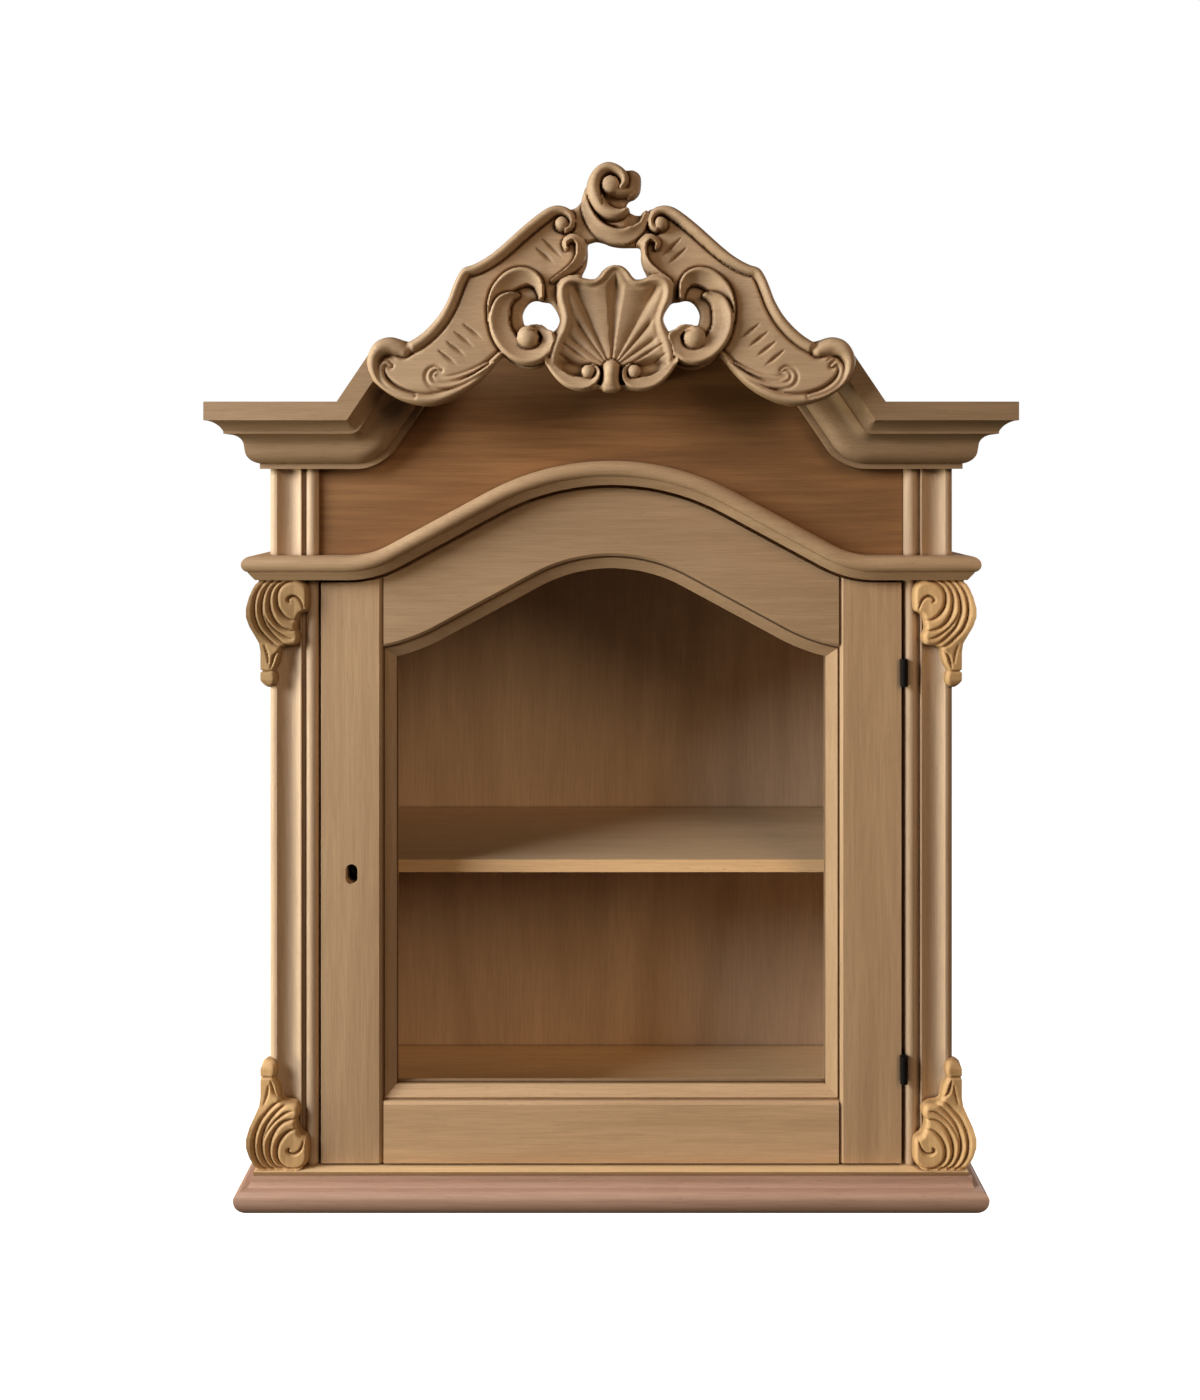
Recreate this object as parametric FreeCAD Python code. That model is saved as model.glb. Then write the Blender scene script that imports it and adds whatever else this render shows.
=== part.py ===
import FreeCAD, Part
import math
import os

V = FreeCAD.Vector

# Carcass: x to the right, the wall at y = 0 with the front towards -y, z up from the underside
body_width = 630.0
body_depth = 246.0
base_height = 34.0
panel_thick = 18.0
back_thick = 6.0
back_rebate = 9.0

# Wall fixing
hang_drop = 64.5
hang_spacing = 400.0
hang_hole_r = 3.0
hang_rail_height = 60.0

# Corner posts, from the outer corner inwards: a rounded nose, a cove, a quirk and a bead
post_nose_r = 6.5
post_flat = 1.0
post_cove_wide = 21.5
post_cove_sag = 5.0
post_quirk_wide = 3.0
post_bead_wide = 12.0
post_bead_rise = 4.0
post_seat = 1.5

# Bottom board and base moulding
board_reach = 11.0
board_lip = 3.0
base_nose = 14.5
base_nose_high = 16.5
base_foot_in = 9.0
base_shoulder_r = 5.5
base_ledge = 4.4
base_hollow_sag = 0.8
base_fillet = 2.6
base_fillet_high = 2.5
base_shelf_in = 24.0

# Shelf on four pegs
shelf_room_below = 253.0
shelf_thick = 12.0
shelf_setback = 53.0
shelf_clear = 1.0
peg_r = 2.5
peg_in = 10.0
peg_out = 12.0
peg_from_front = 30.0
peg_from_back = 39.0

# Door and the arch of its top edge
bottom_gap = 2.0
arch_gap = 3.0
door_side_high = 534.5
arch_rise = 87.0
arch_slope = math.radians(28.4)
arch_top_r = 213.0
arch_foot_r = 107.0
stile_width = 68.0
rail_top_width = 74.5
rail_bottom_width = 68.5

# Moulded inner edge of the door, from its face back to the glass
stick_chamfer = 4.0
stick_chamfer_deep = 3.0
stick_quirk = 1.2
stick_groove_in = 0.5
stick_groove_out = 1.5
stick_groove_deep = 1.4
stick_slope = 10.5
stick_slope_deep = 5.3
stick_lip = 2.5
tenon_long = 30.0
tenon_edge = 9.0
tenon_drop = 19.0
tenon_front = 6.0
tenon_thick = 7.0

# Glass and its beads
pane_thick = 3.0
pane_clear = 0.5
pocket_wide = 8.0
bead_thick = 5.0

# Frieze panel, which rises in the middle to a pediment
frieze_set_in = 6.0
frieze_thick = 18.0
pediment_rise = 8.7
pediment_flat = 118.0

# Arch moulding, measured out from the face and up from its lower edge
arch_mould_foot = 10.0
arch_mould_splay = 5.2
arch_mould_band = 8.0
arch_mould_quirk = 0.8
arch_mould_nose_high = 14.0
arch_mould_nose_sag = 5.4
arch_mould_top_in = 3.0

# Cornice, measured the same way, each step from the one below it
cornice_above_arch = 17.5
cornice_foot = 6.5
cornice_foot_high = 5.0
cornice_cove = 10.5
cornice_cove_high = 10.0
cornice_cove_sag = 2.3
cornice_neck = 0.8
cornice_neck_high = 6.0
cornice_hollow = 7.7
cornice_hollow_high = 9.5
cornice_hollow_sag = 2.1
cornice_ledge = 6.5
cornice_ledge_slope = 1.0
cornice_ledge_high = 2.0
cornice_cap = 12.5
cornice_cap_high = 9.5
cornice_cap_sag = 2.1
cornice_fascia_step = 1.0
cornice_fascia_high = 16.5
rake_angle = math.radians(56.0)
rake_corner_x = 211.0
rake_run = 54.0

# Crest, its outlines measured from the middle and up from the cornice's lower edge, in hundredths
# of its height
crest_high = 268.4
crest_board = 14.5
crest_rim = 5.0
crest_relief = 22.5
scroll_r = 43.0
scroll_rim = 12.0
scroll_eye_r = 22.0
scroll_step = 2.0
scroll_ball_r = 10.5
knob_sink = 4.0
tip_knob_r = 14.0
upper_knob_r = 8.0
boss_r = 9.0
curl_eye_r = 8.0
flute_from_root = 10.0
flute_long = 92.0
flute_start_r = 1.0
flute_end_r = 7.0
flute_turns = [8.5, 25.5, 42.0]
curl_groove_r = 13.0
curl_groove_wide = 2.6
block_half = 45.0
block_tall = 30.0
block_drop = 3.0

# Corner carvings
carving_eye_in = 23.6
carving_eye_drop = 21.5
carving_tilt = math.radians(13.0)
carving_out = 8.0
carving_long = 99.0
carving_deep = 60.0
volute_r = 16.0
volute_eye_r = 7.2
rib_widths = [8.5, 8.0, 6.0, 4.0]
rib_rise = 0.38
rib_start = -80.0
rib_sweep = 190.0
tail_r = 6.0
tail_root_r = 12.0
tail_long = 34.0
bud_r = 7.5
bud_tall = 19.5

# Hinges on the right
hinge_low_in = 88.0
hinge_high_in = 82.5
hinge_tall = 25.0
hinge_leaf_thick = 1.2
hinge_leaf_deep = 15.0
hinge_leaf_gap = 0.6
knuckle_r = 3.5
knuckle_gap = 0.2
knuckle_out = 0.3
pin_r = 1.3
pin_clear = 0.05
screw_r = 1.25
screw_long = 12.0
screw_in = 9.0

# Lock on the left
keyhole_in = 28.0
keyhole_up = 266.0
keyhole_wide = 11.0
keyhole_tall = 18.5
case_left = 8.0
case_wide = 37.0
case_tall = 48.0
case_wall = 1.5
case_slot_in = 3.0
bolt_thick = 6.0
bolt_tall = 16.0
bolt_set_in = 0.5
bolt_throw = 10.0
bolt_clear = 0.2
bolt_pin_gap = 5.5
lock_pin_r = 1.5
lock_pin_proud = 2.0
lock_screw_long = 14.0
strike_tall = 40.0
strike_wide = 15.0
strike_thick = 1.2
strike_clear = 0.5
plate_screw_in = 5.0
stop_wide = 8.0
stop_deep = 10.0
stop_clear = 0.6

# Dowels and screws
dowel_r = 4.0
dowel_long = 30.0
dowel_in_board = 14.0
back_screw_r = 1.5
back_screw_long = 20.0

# Widths and depths that follow from the values above
half = body_width / 2.0
face = -body_depth
far = body_width + body_depth
cove_start = post_nose_r + post_flat
cove_end = cove_start + post_cove_wide
quirk_start = cove_end + post_flat
quirk_end = quirk_start + post_quirk_wide
post_width = quirk_end + post_bead_wide
side_gap = 2.0 * hinge_leaf_thick + hinge_leaf_gap
opening_half = half - post_width
door_half = opening_half - side_gap
sight_half = door_half - stile_width
inner_half = half - panel_thick
stick_width = stick_chamfer + stick_slope
quirk_deep = stick_chamfer_deep + stick_quirk
groove_floor = quirk_deep + stick_groove_deep
stick_deep = quirk_deep + stick_slope_deep
pane_front = stick_deep + stick_lip
door_thick = pane_front + pane_thick + bead_thick
joint_x = sight_half + stick_slope
hinge_x = opening_half - side_gap / 2.0
hinge_axis_y = face - knuckle_r - knuckle_out
keyhole_x = -door_half + keyhole_in
case_x = -door_half + case_left
case_front = door_thick - bolt_thick - 2.0 * case_wall
bolt_mid_y = face + case_front + case_wall + bolt_thick / 2.0
bolt_long = keyhole_in - lock_pin_r - bolt_set_in - bolt_pin_gap
cornice_waist = cornice_foot + cornice_cove
cornice_belly = cornice_waist + cornice_neck + cornice_hollow
cornice_edge = cornice_belly + cornice_ledge
cornice_reach = cornice_edge + cornice_cap + cornice_fascia_step

# Heights, stacked from the underside
door_low = base_height + bottom_gap
sight_low = door_low + rail_bottom_width
arch_side = door_low + door_side_high
arch_mid = arch_side + arch_rise
arch_mould_low = arch_side + arch_gap
arch_mould_high = arch_mould_band + arch_mould_nose_high
cornice_low = arch_mid + cornice_above_arch
cornice_waist_high = cornice_foot_high + cornice_cove_high
cornice_belly_high = cornice_waist_high + cornice_neck_high + cornice_hollow_high
cornice_edge_high = cornice_belly_high + cornice_ledge_slope + cornice_ledge_high
cornice_fascia_low = cornice_edge_high + cornice_cap_high
carcass_top = cornice_low + cornice_fascia_low + cornice_fascia_high
pediment_top = carcass_top + rake_run * math.sin(rake_angle) + pediment_rise
hang_height = carcass_top - hang_drop
shelf_low = base_height + shelf_room_below
keyhole_z = door_low + keyhole_up
hinge_heights = {"lower": door_low + hinge_low_in, "upper": arch_side - hinge_high_in}

# Middle of the arc at the foot of the arch
arch_radii = arch_top_r + arch_foot_r
foot_x = (arch_radii - (arch_radii - arch_rise) * math.cos(arch_slope)) / math.sin(arch_slope)


def box(x0, x1, y0, y1, z0, z1):
    return Part.makeBox(x1 - x0, y1 - y0, z1 - z0, V(x0, y0, z0))


def rod(start, direction, radius, length):
    return Part.makeCylinder(radius, length, start, direction)


def fuse_all(shapes):
    return shapes[0].multiFuse(shapes[1:])


def mirrored(shape):
    return shape.mirror(V(0, 0, 0), V(1, 0, 0))


def flip(point):
    return V(-point.x, point.y, point.z)


def line(a, b):
    return Part.LineSegment(a, b).toShape()


def arc(a, b, c):
    return Part.Arc(a, b, c).toShape()


def spline(points):
    curve = Part.BSplineCurve()
    curve.interpolate([V(x, 0, z) for x, z in points])
    return curve.toShape()


def polygon(points):
    corners = [V(x, 0, z) for x, z in points]
    return Part.makePolygon(corners + corners[:1])


def slab(wire, out_back, out_front):
    sheet = Part.Face(wire)
    sheet.translate(V(0, face - out_front, 0))
    return sheet.extrude(V(0, out_front - out_back, 0))


def arch_path(lift, x_end):
    r_foot = arch_foot_r - lift
    r_top = arch_top_r + lift
    foot = V(-foot_x, 0, arch_side + arch_foot_r)
    crown = V(0, 0, arch_mid + lift)
    begin = 0.0 if x_end >= foot_x else math.asin((foot_x - x_end) / r_foot)

    def on_foot(turn):
        return foot + V(r_foot * math.sin(turn), 0, -r_foot * math.cos(turn))

    p0 = on_foot(begin)
    p1 = on_foot((begin + arch_slope) / 2.0)
    p2 = on_foot(arch_slope)
    p3 = V(-r_top * math.sin(arch_slope), 0, crown.z - r_top * (1.0 - math.cos(arch_slope)))
    edges = [arc(p0, p1, p2), line(p2, p3), arc(p3, crown, flip(p3)), line(flip(p3), flip(p2))]
    edges.append(arc(flip(p2), flip(p1), flip(p0)))
    if x_end > foot_x:
        edges.insert(0, line(V(-x_end, 0, p0.z), p0))
        edges.append(line(flip(p0), V(x_end, 0, p0.z)))
    return edges


def arch_height(x, lift):
    r_foot = arch_foot_r - lift
    inside = max(foot_x - x, 0.0)
    return arch_side + arch_foot_r - math.sqrt(r_foot ** 2 - inside ** 2)


def arch_outline(x_end, low, lift):
    edges = arch_path(lift, x_end)
    left = edges[0].Vertexes[0].Point
    corner = V(-x_end, 0, low)
    edges += [line(flip(left), flip(corner)), line(flip(corner), corner), line(corner, left)]
    return Part.Wire(Part.__sortEdges__(edges))


def opening(grow):
    return arch_outline(sight_half + grow, sight_low - grow, grow - rail_top_width)


def opening_slab(grow, deep_front, deep_back):
    return slab(opening(grow), -deep_back, -deep_front)


def opening_taper(grow_front, deep_front, grow_back, deep_back):
    front = opening(grow_front)
    front.translate(V(0, face + deep_front, 0))
    back = opening(grow_back)
    back.translate(V(0, face + deep_back, 0))
    return Part.makeLoft([front, back], True, True)


def front_of_mitres():
    inside = 2.0 * post_width
    corners = [V(-half + inside, face + inside, 0), V(-half - far, face - far, 0)]
    corners += [flip(corners[1]), flip(corners[0])]
    sheet = Part.Face(Part.makePolygon(corners + corners[:1]))
    return sheet.extrude(V(0, 0, far))


def post_envelope():
    return box(-half, -opening_half, face, face + post_width, base_height, carcass_top)


def post_section():
    nose = post_nose_r * (1.0 - math.sqrt(0.5))
    bead_mid = (quirk_end + post_width) / 2.0
    cove_mid = (cove_start + cove_end) / 2.0

    def at(u, v):
        return V(-half + u, face + v, 0)

    edges = [line(at(0, post_width), at(0, post_nose_r))]
    edges.append(arc(at(0, post_nose_r), at(nose, nose), at(post_nose_r, 0)))
    edges.append(line(at(post_nose_r, 0), at(cove_start, 0)))
    edges.append(arc(at(cove_start, 0), at(cove_mid, post_cove_sag), at(cove_end, 0)))
    edges.append(line(at(cove_end, 0), at(quirk_start, 0)))
    edges.append(line(at(quirk_start, 0), at(quirk_start, post_bead_rise)))
    edges.append(line(at(quirk_start, post_bead_rise), at(quirk_end, post_bead_rise)))
    edges.append(arc(at(quirk_end, post_bead_rise), at(bead_mid, 0), at(post_width, post_bead_rise)))
    edges.append(line(at(post_width, post_bead_rise), at(post_width, post_width)))
    edges.append(line(at(post_width, post_width), at(0, post_width)))
    return Part.Face(Part.Wire(edges))


def plain_post():
    section = post_section()
    section.translate(V(0, 0, base_height))
    post = section.extrude(V(0, 0, carcass_top - base_height))
    behind_arch = (arch_mould_low + post_seat, arch_mould_low + arch_mould_high - post_seat)
    behind_cornice = (cornice_low + post_seat, carcass_top)
    for z0, z1 in (behind_arch, behind_cornice):
        post = post.fuse(box(-half, -opening_half, face, face + post_width, z0, z1))
    return post.removeSplitter()


def screw_rods_in_leaf(x, direction, z_mid):
    rows = [z_mid - hinge_tall / 4.0, z_mid + hinge_tall / 4.0]
    y = face + screw_in
    return [rod(V(x, y, z), V(direction, 0, 0), screw_r, screw_long) for z in rows]


def frame_screws():
    x = opening_half - hinge_leaf_thick
    return fuse_all([s for z in hinge_heights.values() for s in screw_rods_in_leaf(x, 1, z)])


def door_screws():
    x = door_half + hinge_leaf_thick
    return fuse_all([s for z in hinge_heights.values() for s in screw_rods_in_leaf(x, -1, z)])


def hinge_leaf(z_mid, on_door):
    low = z_mid - hinge_tall / 2.0
    third = hinge_tall / 3.0
    x0 = door_half if on_door else opening_half - hinge_leaf_thick
    x1 = x0 + hinge_leaf_thick
    leaf = box(x0, x1, face + knuckle_gap, face + hinge_leaf_deep, low, low + hinge_tall)
    spans = [(low, low + third - knuckle_gap), (low + 2 * third + knuckle_gap, low + hinge_tall)]
    if on_door:
        spans = [(low + third, low + 2 * third)]
    for z0, z1 in spans:
        tab = box(x0, x1, hinge_axis_y, face + knuckle_gap, z0, z1)
        knuckle = rod(V(hinge_x, hinge_axis_y, z0), V(0, 0, 1), knuckle_r, z1 - z0)
        leaf = leaf.fuse(tab.fuse(knuckle))
    bore_r = pin_r + pin_clear if on_door else pin_r
    bore = rod(V(hinge_x, hinge_axis_y, low), V(0, 0, 1), bore_r, hinge_tall)
    return leaf.cut(bore).cut(door_screws() if on_door else frame_screws())


def hinge_pin(z_mid):
    return rod(V(hinge_x, hinge_axis_y, z_mid - hinge_tall / 2.0), V(0, 0, 1), pin_r, hinge_tall)


def bolt_box(clear, left, right):
    deep = bolt_thick / 2.0 + clear
    tall = bolt_tall / 2.0 + clear
    return box(left, right, bolt_mid_y - deep, bolt_mid_y + deep, keyhole_z - tall, keyhole_z + tall)


def lock_bolt():
    left = -door_half + bolt_set_in
    return bolt_box(-bolt_clear, left, left + bolt_long)


def lock_case_block():
    z0 = keyhole_z - case_tall / 2.0
    return box(case_x, case_x + case_wide, face + case_front, face + door_thick, z0, z0 + case_tall)


def keyhole(wide, tall, deep_front, deep_back):
    r = wide / 2.0
    reach = (tall - wide) / 2.0
    y0 = face + deep_front
    run = deep_back - deep_front
    ends = [rod(V(keyhole_x, y0, keyhole_z + s), V(0, 1, 0), r, run) for s in (-reach, reach)]
    middle = box(keyhole_x - r, keyhole_x + r, y0, y0 + run, keyhole_z - reach, keyhole_z + reach)
    return middle.multiFuse(ends)


def lock_pin():
    front = case_front - lock_pin_proud
    run = lock_pin_proud + case_wall + bolt_thick
    return rod(V(keyhole_x, face + front, keyhole_z), V(0, 1, 0), lock_pin_r, run)


def lock_screws():
    y = face + door_thick - lock_screw_long
    rise = case_tall / 2.0 - plate_screw_in
    screws = []
    for x in (case_x + plate_screw_in, case_x + case_wide - plate_screw_in):
        for z in (keyhole_z - rise, keyhole_z + rise):
            screws.append(rod(V(x, y, z), V(0, 1, 0), back_screw_r, lock_screw_long))
    return fuse_all(screws)


def lock_case():
    case = lock_case_block().cut(bolt_box(0.0, case_x, case_x + case_wide - 2 * case_wall))
    slot_wide = keyhole_wide - case_slot_in
    slot = keyhole(slot_wide, keyhole_tall - case_slot_in, case_front, case_front + case_wall)
    return case.cut(slot).cut(lock_screws())


def strike_screws():
    rise = strike_tall / 2.0 - plate_screw_in
    ends = [keyhole_z - rise, keyhole_z + rise]
    way = V(-1, 0, 0)
    return fuse_all([rod(V(-opening_half, bolt_mid_y, z), way, screw_r, screw_long) for z in ends])


def strike_block():
    wide = strike_wide / 2.0
    tall = strike_tall / 2.0
    x0 = -opening_half - strike_thick
    return box(x0, -opening_half, bolt_mid_y - wide, bolt_mid_y + wide, keyhole_z - tall, keyhole_z + tall)


def strike_mortise():
    deep = bolt_throw + strike_thick
    return bolt_box(strike_clear, -opening_half - deep, -opening_half)


def strike_plate():
    return strike_block().cut(strike_mortise()).cut(strike_screws())


def dowels():
    rods = []
    low = base_height - dowel_in_board
    high = carcass_top - panel_thick / 2.0
    mid_post = post_width / 2.0
    x_panel = half - panel_thick / 2.0
    run = body_depth - post_width
    rows = [-run * share for share in (0.2, 0.5, 0.8)]
    for side in (-1, 1):
        spots = [(side * (half - mid_post), face + mid_post)]
        spots += [(side * x_panel, y) for y in rows]
        rods += [rod(V(x, y, low), V(0, 0, 1), dowel_r, dowel_long) for x, y in spots]
        start = side * (inner_half + dowel_in_board)
        rods += [rod(V(start, y, high), V(-side, 0, 0), dowel_r, dowel_long) for y in rows]
    return fuse_all(rods)


def back_screws():
    x_side = inner_half + back_rebate / 2.0
    rise = (carcass_top - base_height) / 4.0
    spots = [(side * x_side, base_height + rise * (row + 0.5)) for row in range(4) for side in (-1, 1)]
    spots += [(side * half / 2.0, carcass_top - panel_thick / 2.0) for side in (-1, 0, 1)]
    way = V(0, -1, 0)
    return fuse_all([rod(V(x, 0, z), way, back_screw_r, back_screw_long) for x, z in spots])


def pegs():
    z = shelf_low - peg_r
    rows = [face + shelf_setback + peg_from_front, -back_thick - peg_from_back]
    rods = []
    for side in (-1, 1):
        start = side * (inner_half + peg_in)
        rods += [rod(V(start, y, z), V(-side, 0, 0), peg_r, peg_in + peg_out) for y in rows]
    return fuse_all(rods)


def side_panel():
    panel = box(-half, -inner_half, face + post_width, 0, base_height, carcass_top)
    panel = panel.cut(box(-inner_half - back_rebate, -inner_half, -back_thick, 0, base_height, carcass_top))
    return panel.cut(dowels()).cut(pegs()).cut(back_screws())


def bottom_board():
    reach = half + board_reach
    board = box(-reach, reach, face - board_reach, 0, base_height - panel_thick, base_height)
    return board.cut(dowels())


def top_board():
    front = face + frieze_set_in + frieze_thick
    board = box(-inner_half, inner_half, front, -back_thick, carcass_top - panel_thick, carcass_top)
    envelope = post_envelope()
    return board.cut(envelope).cut(mirrored(envelope)).cut(dowels()).cut(back_screws())


def hang_holes():
    run = back_thick + panel_thick
    ends = [-hang_spacing / 2.0, hang_spacing / 2.0]
    return fuse_all([rod(V(x, -run, hang_height), V(0, 1, 0), hang_hole_r, run) for x in ends])


def back_panel():
    reach = inner_half + back_rebate
    panel = box(-reach, reach, -back_thick, 0, base_height, carcass_top)
    return panel.cut(back_screws()).cut(hang_holes())


def hanging_rail():
    low = hang_height - hang_rail_height / 2.0
    rail = box(-inner_half, inner_half, -back_thick - panel_thick, -back_thick, low, low + hang_rail_height)
    return rail.cut(hang_holes())


def shelf():
    reach = inner_half - shelf_clear
    return box(-reach, reach, face + shelf_setback, -back_thick, shelf_low, shelf_low + shelf_thick)


def left_post():
    post = plain_post().cut(dowels()).cut(strike_block())
    return post.cut(strike_mortise()).cut(strike_screws())


def right_post():
    return mirrored(plain_post()).cut(dowels()).cut(frame_screws())


def door_stop():
    y0 = face + door_thick + stop_clear
    return box(-opening_half, -opening_half + stop_wide, y0, y0 + stop_deep, base_height, arch_side)


def rake_pivot_x():
    return -rake_corner_x - cornice_fascia_low * math.tan(rake_angle / 2.0)


def rake_point(along):
    corner_x = rake_pivot_x() - cornice_fascia_high * math.tan(rake_angle / 2.0)
    return corner_x + along * math.cos(rake_angle), carcass_top + along * math.sin(rake_angle)


def frieze_panel():
    edges = arch_path(arch_gap, opening_half)
    left = edges[0].Vertexes[0].Point
    shoulder = [(-opening_half, carcass_top), rake_point(0.0), rake_point(rake_run)]
    points = [V(x, 0, z) for x, z in shoulder + [(-pediment_flat, pediment_top)]]
    points = [left] + points + [flip(p) for p in reversed(points)] + [flip(left)]
    edges += [line(a, b) for a, b in zip(points, points[1:])]
    outline = Part.Wire(Part.__sortEdges__(edges))
    return slab(outline, -frieze_set_in - frieze_thick, -frieze_set_in)


def behind_face():
    return box(-half - far, -opening_half, face, face + post_width, 0, far)


def bowed(a, b, sag):
    out = b[0] - a[0]
    up = b[1] - a[1]
    run = math.hypot(out, up)
    return (a[0] + b[0]) / 2.0 - sag * up / run, (a[1] + b[1]) / 2.0 + sag * out / run


def arch_mould_section(back):
    step = arch_mould_foot + arch_mould_splay
    nose = step + arch_mould_quirk
    rows = [(back, 0, 0), (arch_mould_foot, 0, 0), (step, arch_mould_band - arch_mould_quirk, 0)]
    rows += [(step, arch_mould_band, 0), (nose, arch_mould_band, 0)]
    rows.append((nose - arch_mould_top_in, arch_mould_high, -arch_mould_nose_sag))
    return rows + [(back, arch_mould_high, 0)]


def section_wire(rows, start):
    def at(point):
        return V(start.x, start.y - point[0], start.z + point[1])

    edges = []
    for a, b in zip(rows, rows[1:] + rows[:1]):
        sag = b[2]
        edges.append(arc(at(a), at(bowed(a, b, sag)), at(b)) if sag else line(at(a), at(b)))
    return Part.Wire(edges)


def arch_moulding_front():
    reach = half + 2.0 * (arch_mould_foot + arch_mould_splay)
    path = Part.Wire(arch_path(arch_gap, reach))
    path.translate(V(0, face, 0))
    start = V(-reach, face, arch_mould_low)
    mould = path.makePipeShell([section_wire(arch_mould_section(-frieze_set_in), start)], True, False)
    mould = mould.common(front_of_mitres())
    return mould.cut(behind_face()).cut(mirrored(behind_face()))


def side_return(section):
    sheet = Part.Face(section)
    sheet.rotate(V(-half, face, 0), V(0, 0, 1), -90)
    sheet.translate(V(0, -face, 0))
    bar = sheet.extrude(V(0, face - 2.0 * cornice_reach, 0))
    return bar.cut(front_of_mitres())


def arch_moulding_return():
    start = V(-half, face, arch_mould_low)
    return side_return(section_wire(arch_mould_section(0.0), start))


def cornice_section(back):
    neck = cornice_waist + cornice_neck
    high = carcass_top - cornice_low
    rows = [(back, 0, 0), (cornice_foot, 0, 0), (cornice_foot, cornice_foot_high, 0)]
    rows.append((cornice_waist, cornice_waist_high, -cornice_cove_sag))
    rows.append((neck, cornice_waist_high + cornice_neck_high, 0))
    rows.append((cornice_belly, cornice_belly_high, cornice_hollow_sag))
    rows.append((cornice_edge, cornice_belly_high + cornice_ledge_slope, 0))
    rows.append((cornice_edge, cornice_edge_high, 0))
    rows.append((cornice_edge + cornice_cap, cornice_fascia_low, cornice_cap_sag))
    rows.append((cornice_reach, cornice_fascia_low, 0))
    return rows + [(cornice_reach, high, 0), (back, high, 0)]


def part_of_section(section, z0, z1):
    return section.common(box(-half, half, face - 2.0 * cornice_reach, face + post_width, z0, z1))


def cornice_front():
    start = -half - 2.0 * cornice_reach
    split = cornice_low + cornice_fascia_low
    pivot = V(rake_pivot_x(), face, split)
    rise = V(math.cos(rake_angle), 0, math.sin(rake_angle))
    run = rake_run + cornice_fascia_high * math.tan(rake_angle / 2.0)
    section = Part.Face(section_wire(cornice_section(-frieze_set_in), V(0, face, cornice_low)))
    low = part_of_section(section, cornice_low, split)
    low.translate(V(pivot.x, 0, 0))
    bend = low.revolve(pivot, V(0, -1, 0), math.degrees(rake_angle))
    turned = low.copy()
    turned.rotate(pivot, V(0, -1, 0), math.degrees(rake_angle))
    level = low.extrude(V(start - pivot.x, 0, 0))
    end = pivot + rise * run
    points = [(start, split), (pivot.x, split), (end.x, end.z), rake_point(rake_run), rake_point(0.0)]
    band = slab(polygon(points + [(start, carcass_top)]), -frieze_set_in, cornice_reach)
    mould = fuse_all([band, level, bend, turned.extrude(rise * run)])
    return mould.common(front_of_mitres()).cut(behind_face())


def cornice_return():
    return side_return(section_wire(cornice_section(0.0), V(-half, face, cornice_low)))


def base_section():
    under = base_height - panel_thick
    top = base_height - board_lip
    inner = board_reach - base_shelf_in
    neck = board_reach + base_fillet
    nose = board_reach + base_nose
    shoulder = base_nose_high + base_shoulder_r
    foot_chord = math.hypot(base_foot_in, base_nose_high)
    foot_r = foot_chord ** 2 / (2.0 * base_foot_in)
    foot_sag = foot_r - math.sqrt(foot_r ** 2 - (foot_chord / 2.0) ** 2)
    shoulder_sag = base_shoulder_r * (1.0 - math.cos(math.pi / 4.0))
    rows = [(inner, 0, 0), (nose - base_foot_in, 0, 0), (nose, base_nose_high, -foot_sag)]
    rows += [(nose - base_shoulder_r, shoulder, -shoulder_sag), (board_reach + base_ledge, shoulder, 0)]
    rows.append((neck, top - base_fillet_high, base_hollow_sag))
    rows += [(neck, top, 0), (board_reach, top, 0), (board_reach, under, 0)]
    return rows + [(inner, under, 0)]


def base_front():
    reach = half + 2.0 * (board_reach + base_nose)
    sheet = Part.Face(section_wire(base_section(), V(-reach, face, 0)))
    return sheet.extrude(V(2 * reach, 0, 0)).common(front_of_mitres())


def base_return():
    return side_return(section_wire(base_section(), V(-half, face, 0)))


def door_blank():
    blank = slab(arch_outline(door_half, door_low, 0.0), -door_thick, 0.0)
    groove_out = joint_x + stick_chamfer
    corners = [V(groove_out, face, 0), V(joint_x, face, 0), V(joint_x, face + stick_chamfer_deep, 0)]
    groove = Part.Face(Part.makePolygon(corners + corners[:1])).extrude(V(0, 0, carcass_top))
    cuts = [groove, mirrored(groove)]
    cuts.append(opening_taper(stick_width, 0.0, stick_slope, stick_chamfer_deep))
    cuts.append(opening_slab(stick_slope, stick_chamfer_deep, quirk_deep))
    cuts.append(opening_taper(stick_slope, quirk_deep, 0.0, stick_deep))
    line = opening_slab(stick_slope + stick_groove_out, 0.0, groove_floor)
    cuts.append(line.cut(opening_slab(stick_slope - stick_groove_in, 0.0, groove_floor)))
    cuts.append(opening_slab(0.0, stick_deep, pane_front))
    cuts.append(opening_slab(pocket_wide, pane_front, door_thick))
    for cut in cuts:
        blank = blank.cut(cut)
    return blank


def stile_region():
    out = door_half + stile_width
    top_in = arch_height(sight_half, -rail_top_width)
    top_out = arch_height(joint_x, stick_slope - rail_top_width)
    points = [(-out, 0), (-joint_x, 0), (-joint_x, sight_low - stick_slope), (-sight_half, sight_low)]
    points += [(-sight_half, top_in), (-joint_x, top_out), (-joint_x, carcass_top), (-out, carcass_top)]
    return slab(polygon(points), -door_thick, 0.0)


def tenons():
    y0 = face + tenon_front
    low = (door_low + tenon_edge, sight_low - stick_width - tenon_edge)
    high_top = arch_height(joint_x, 0.0) - tenon_drop
    high = (high_top - low[1] + low[0], high_top)
    x0 = -joint_x - tenon_long
    left = [box(x0, -joint_x, y0, y0 + tenon_thick, z0, z1) for z0, z1 in (low, high)]
    return left + [mirrored(t) for t in left]


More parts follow.
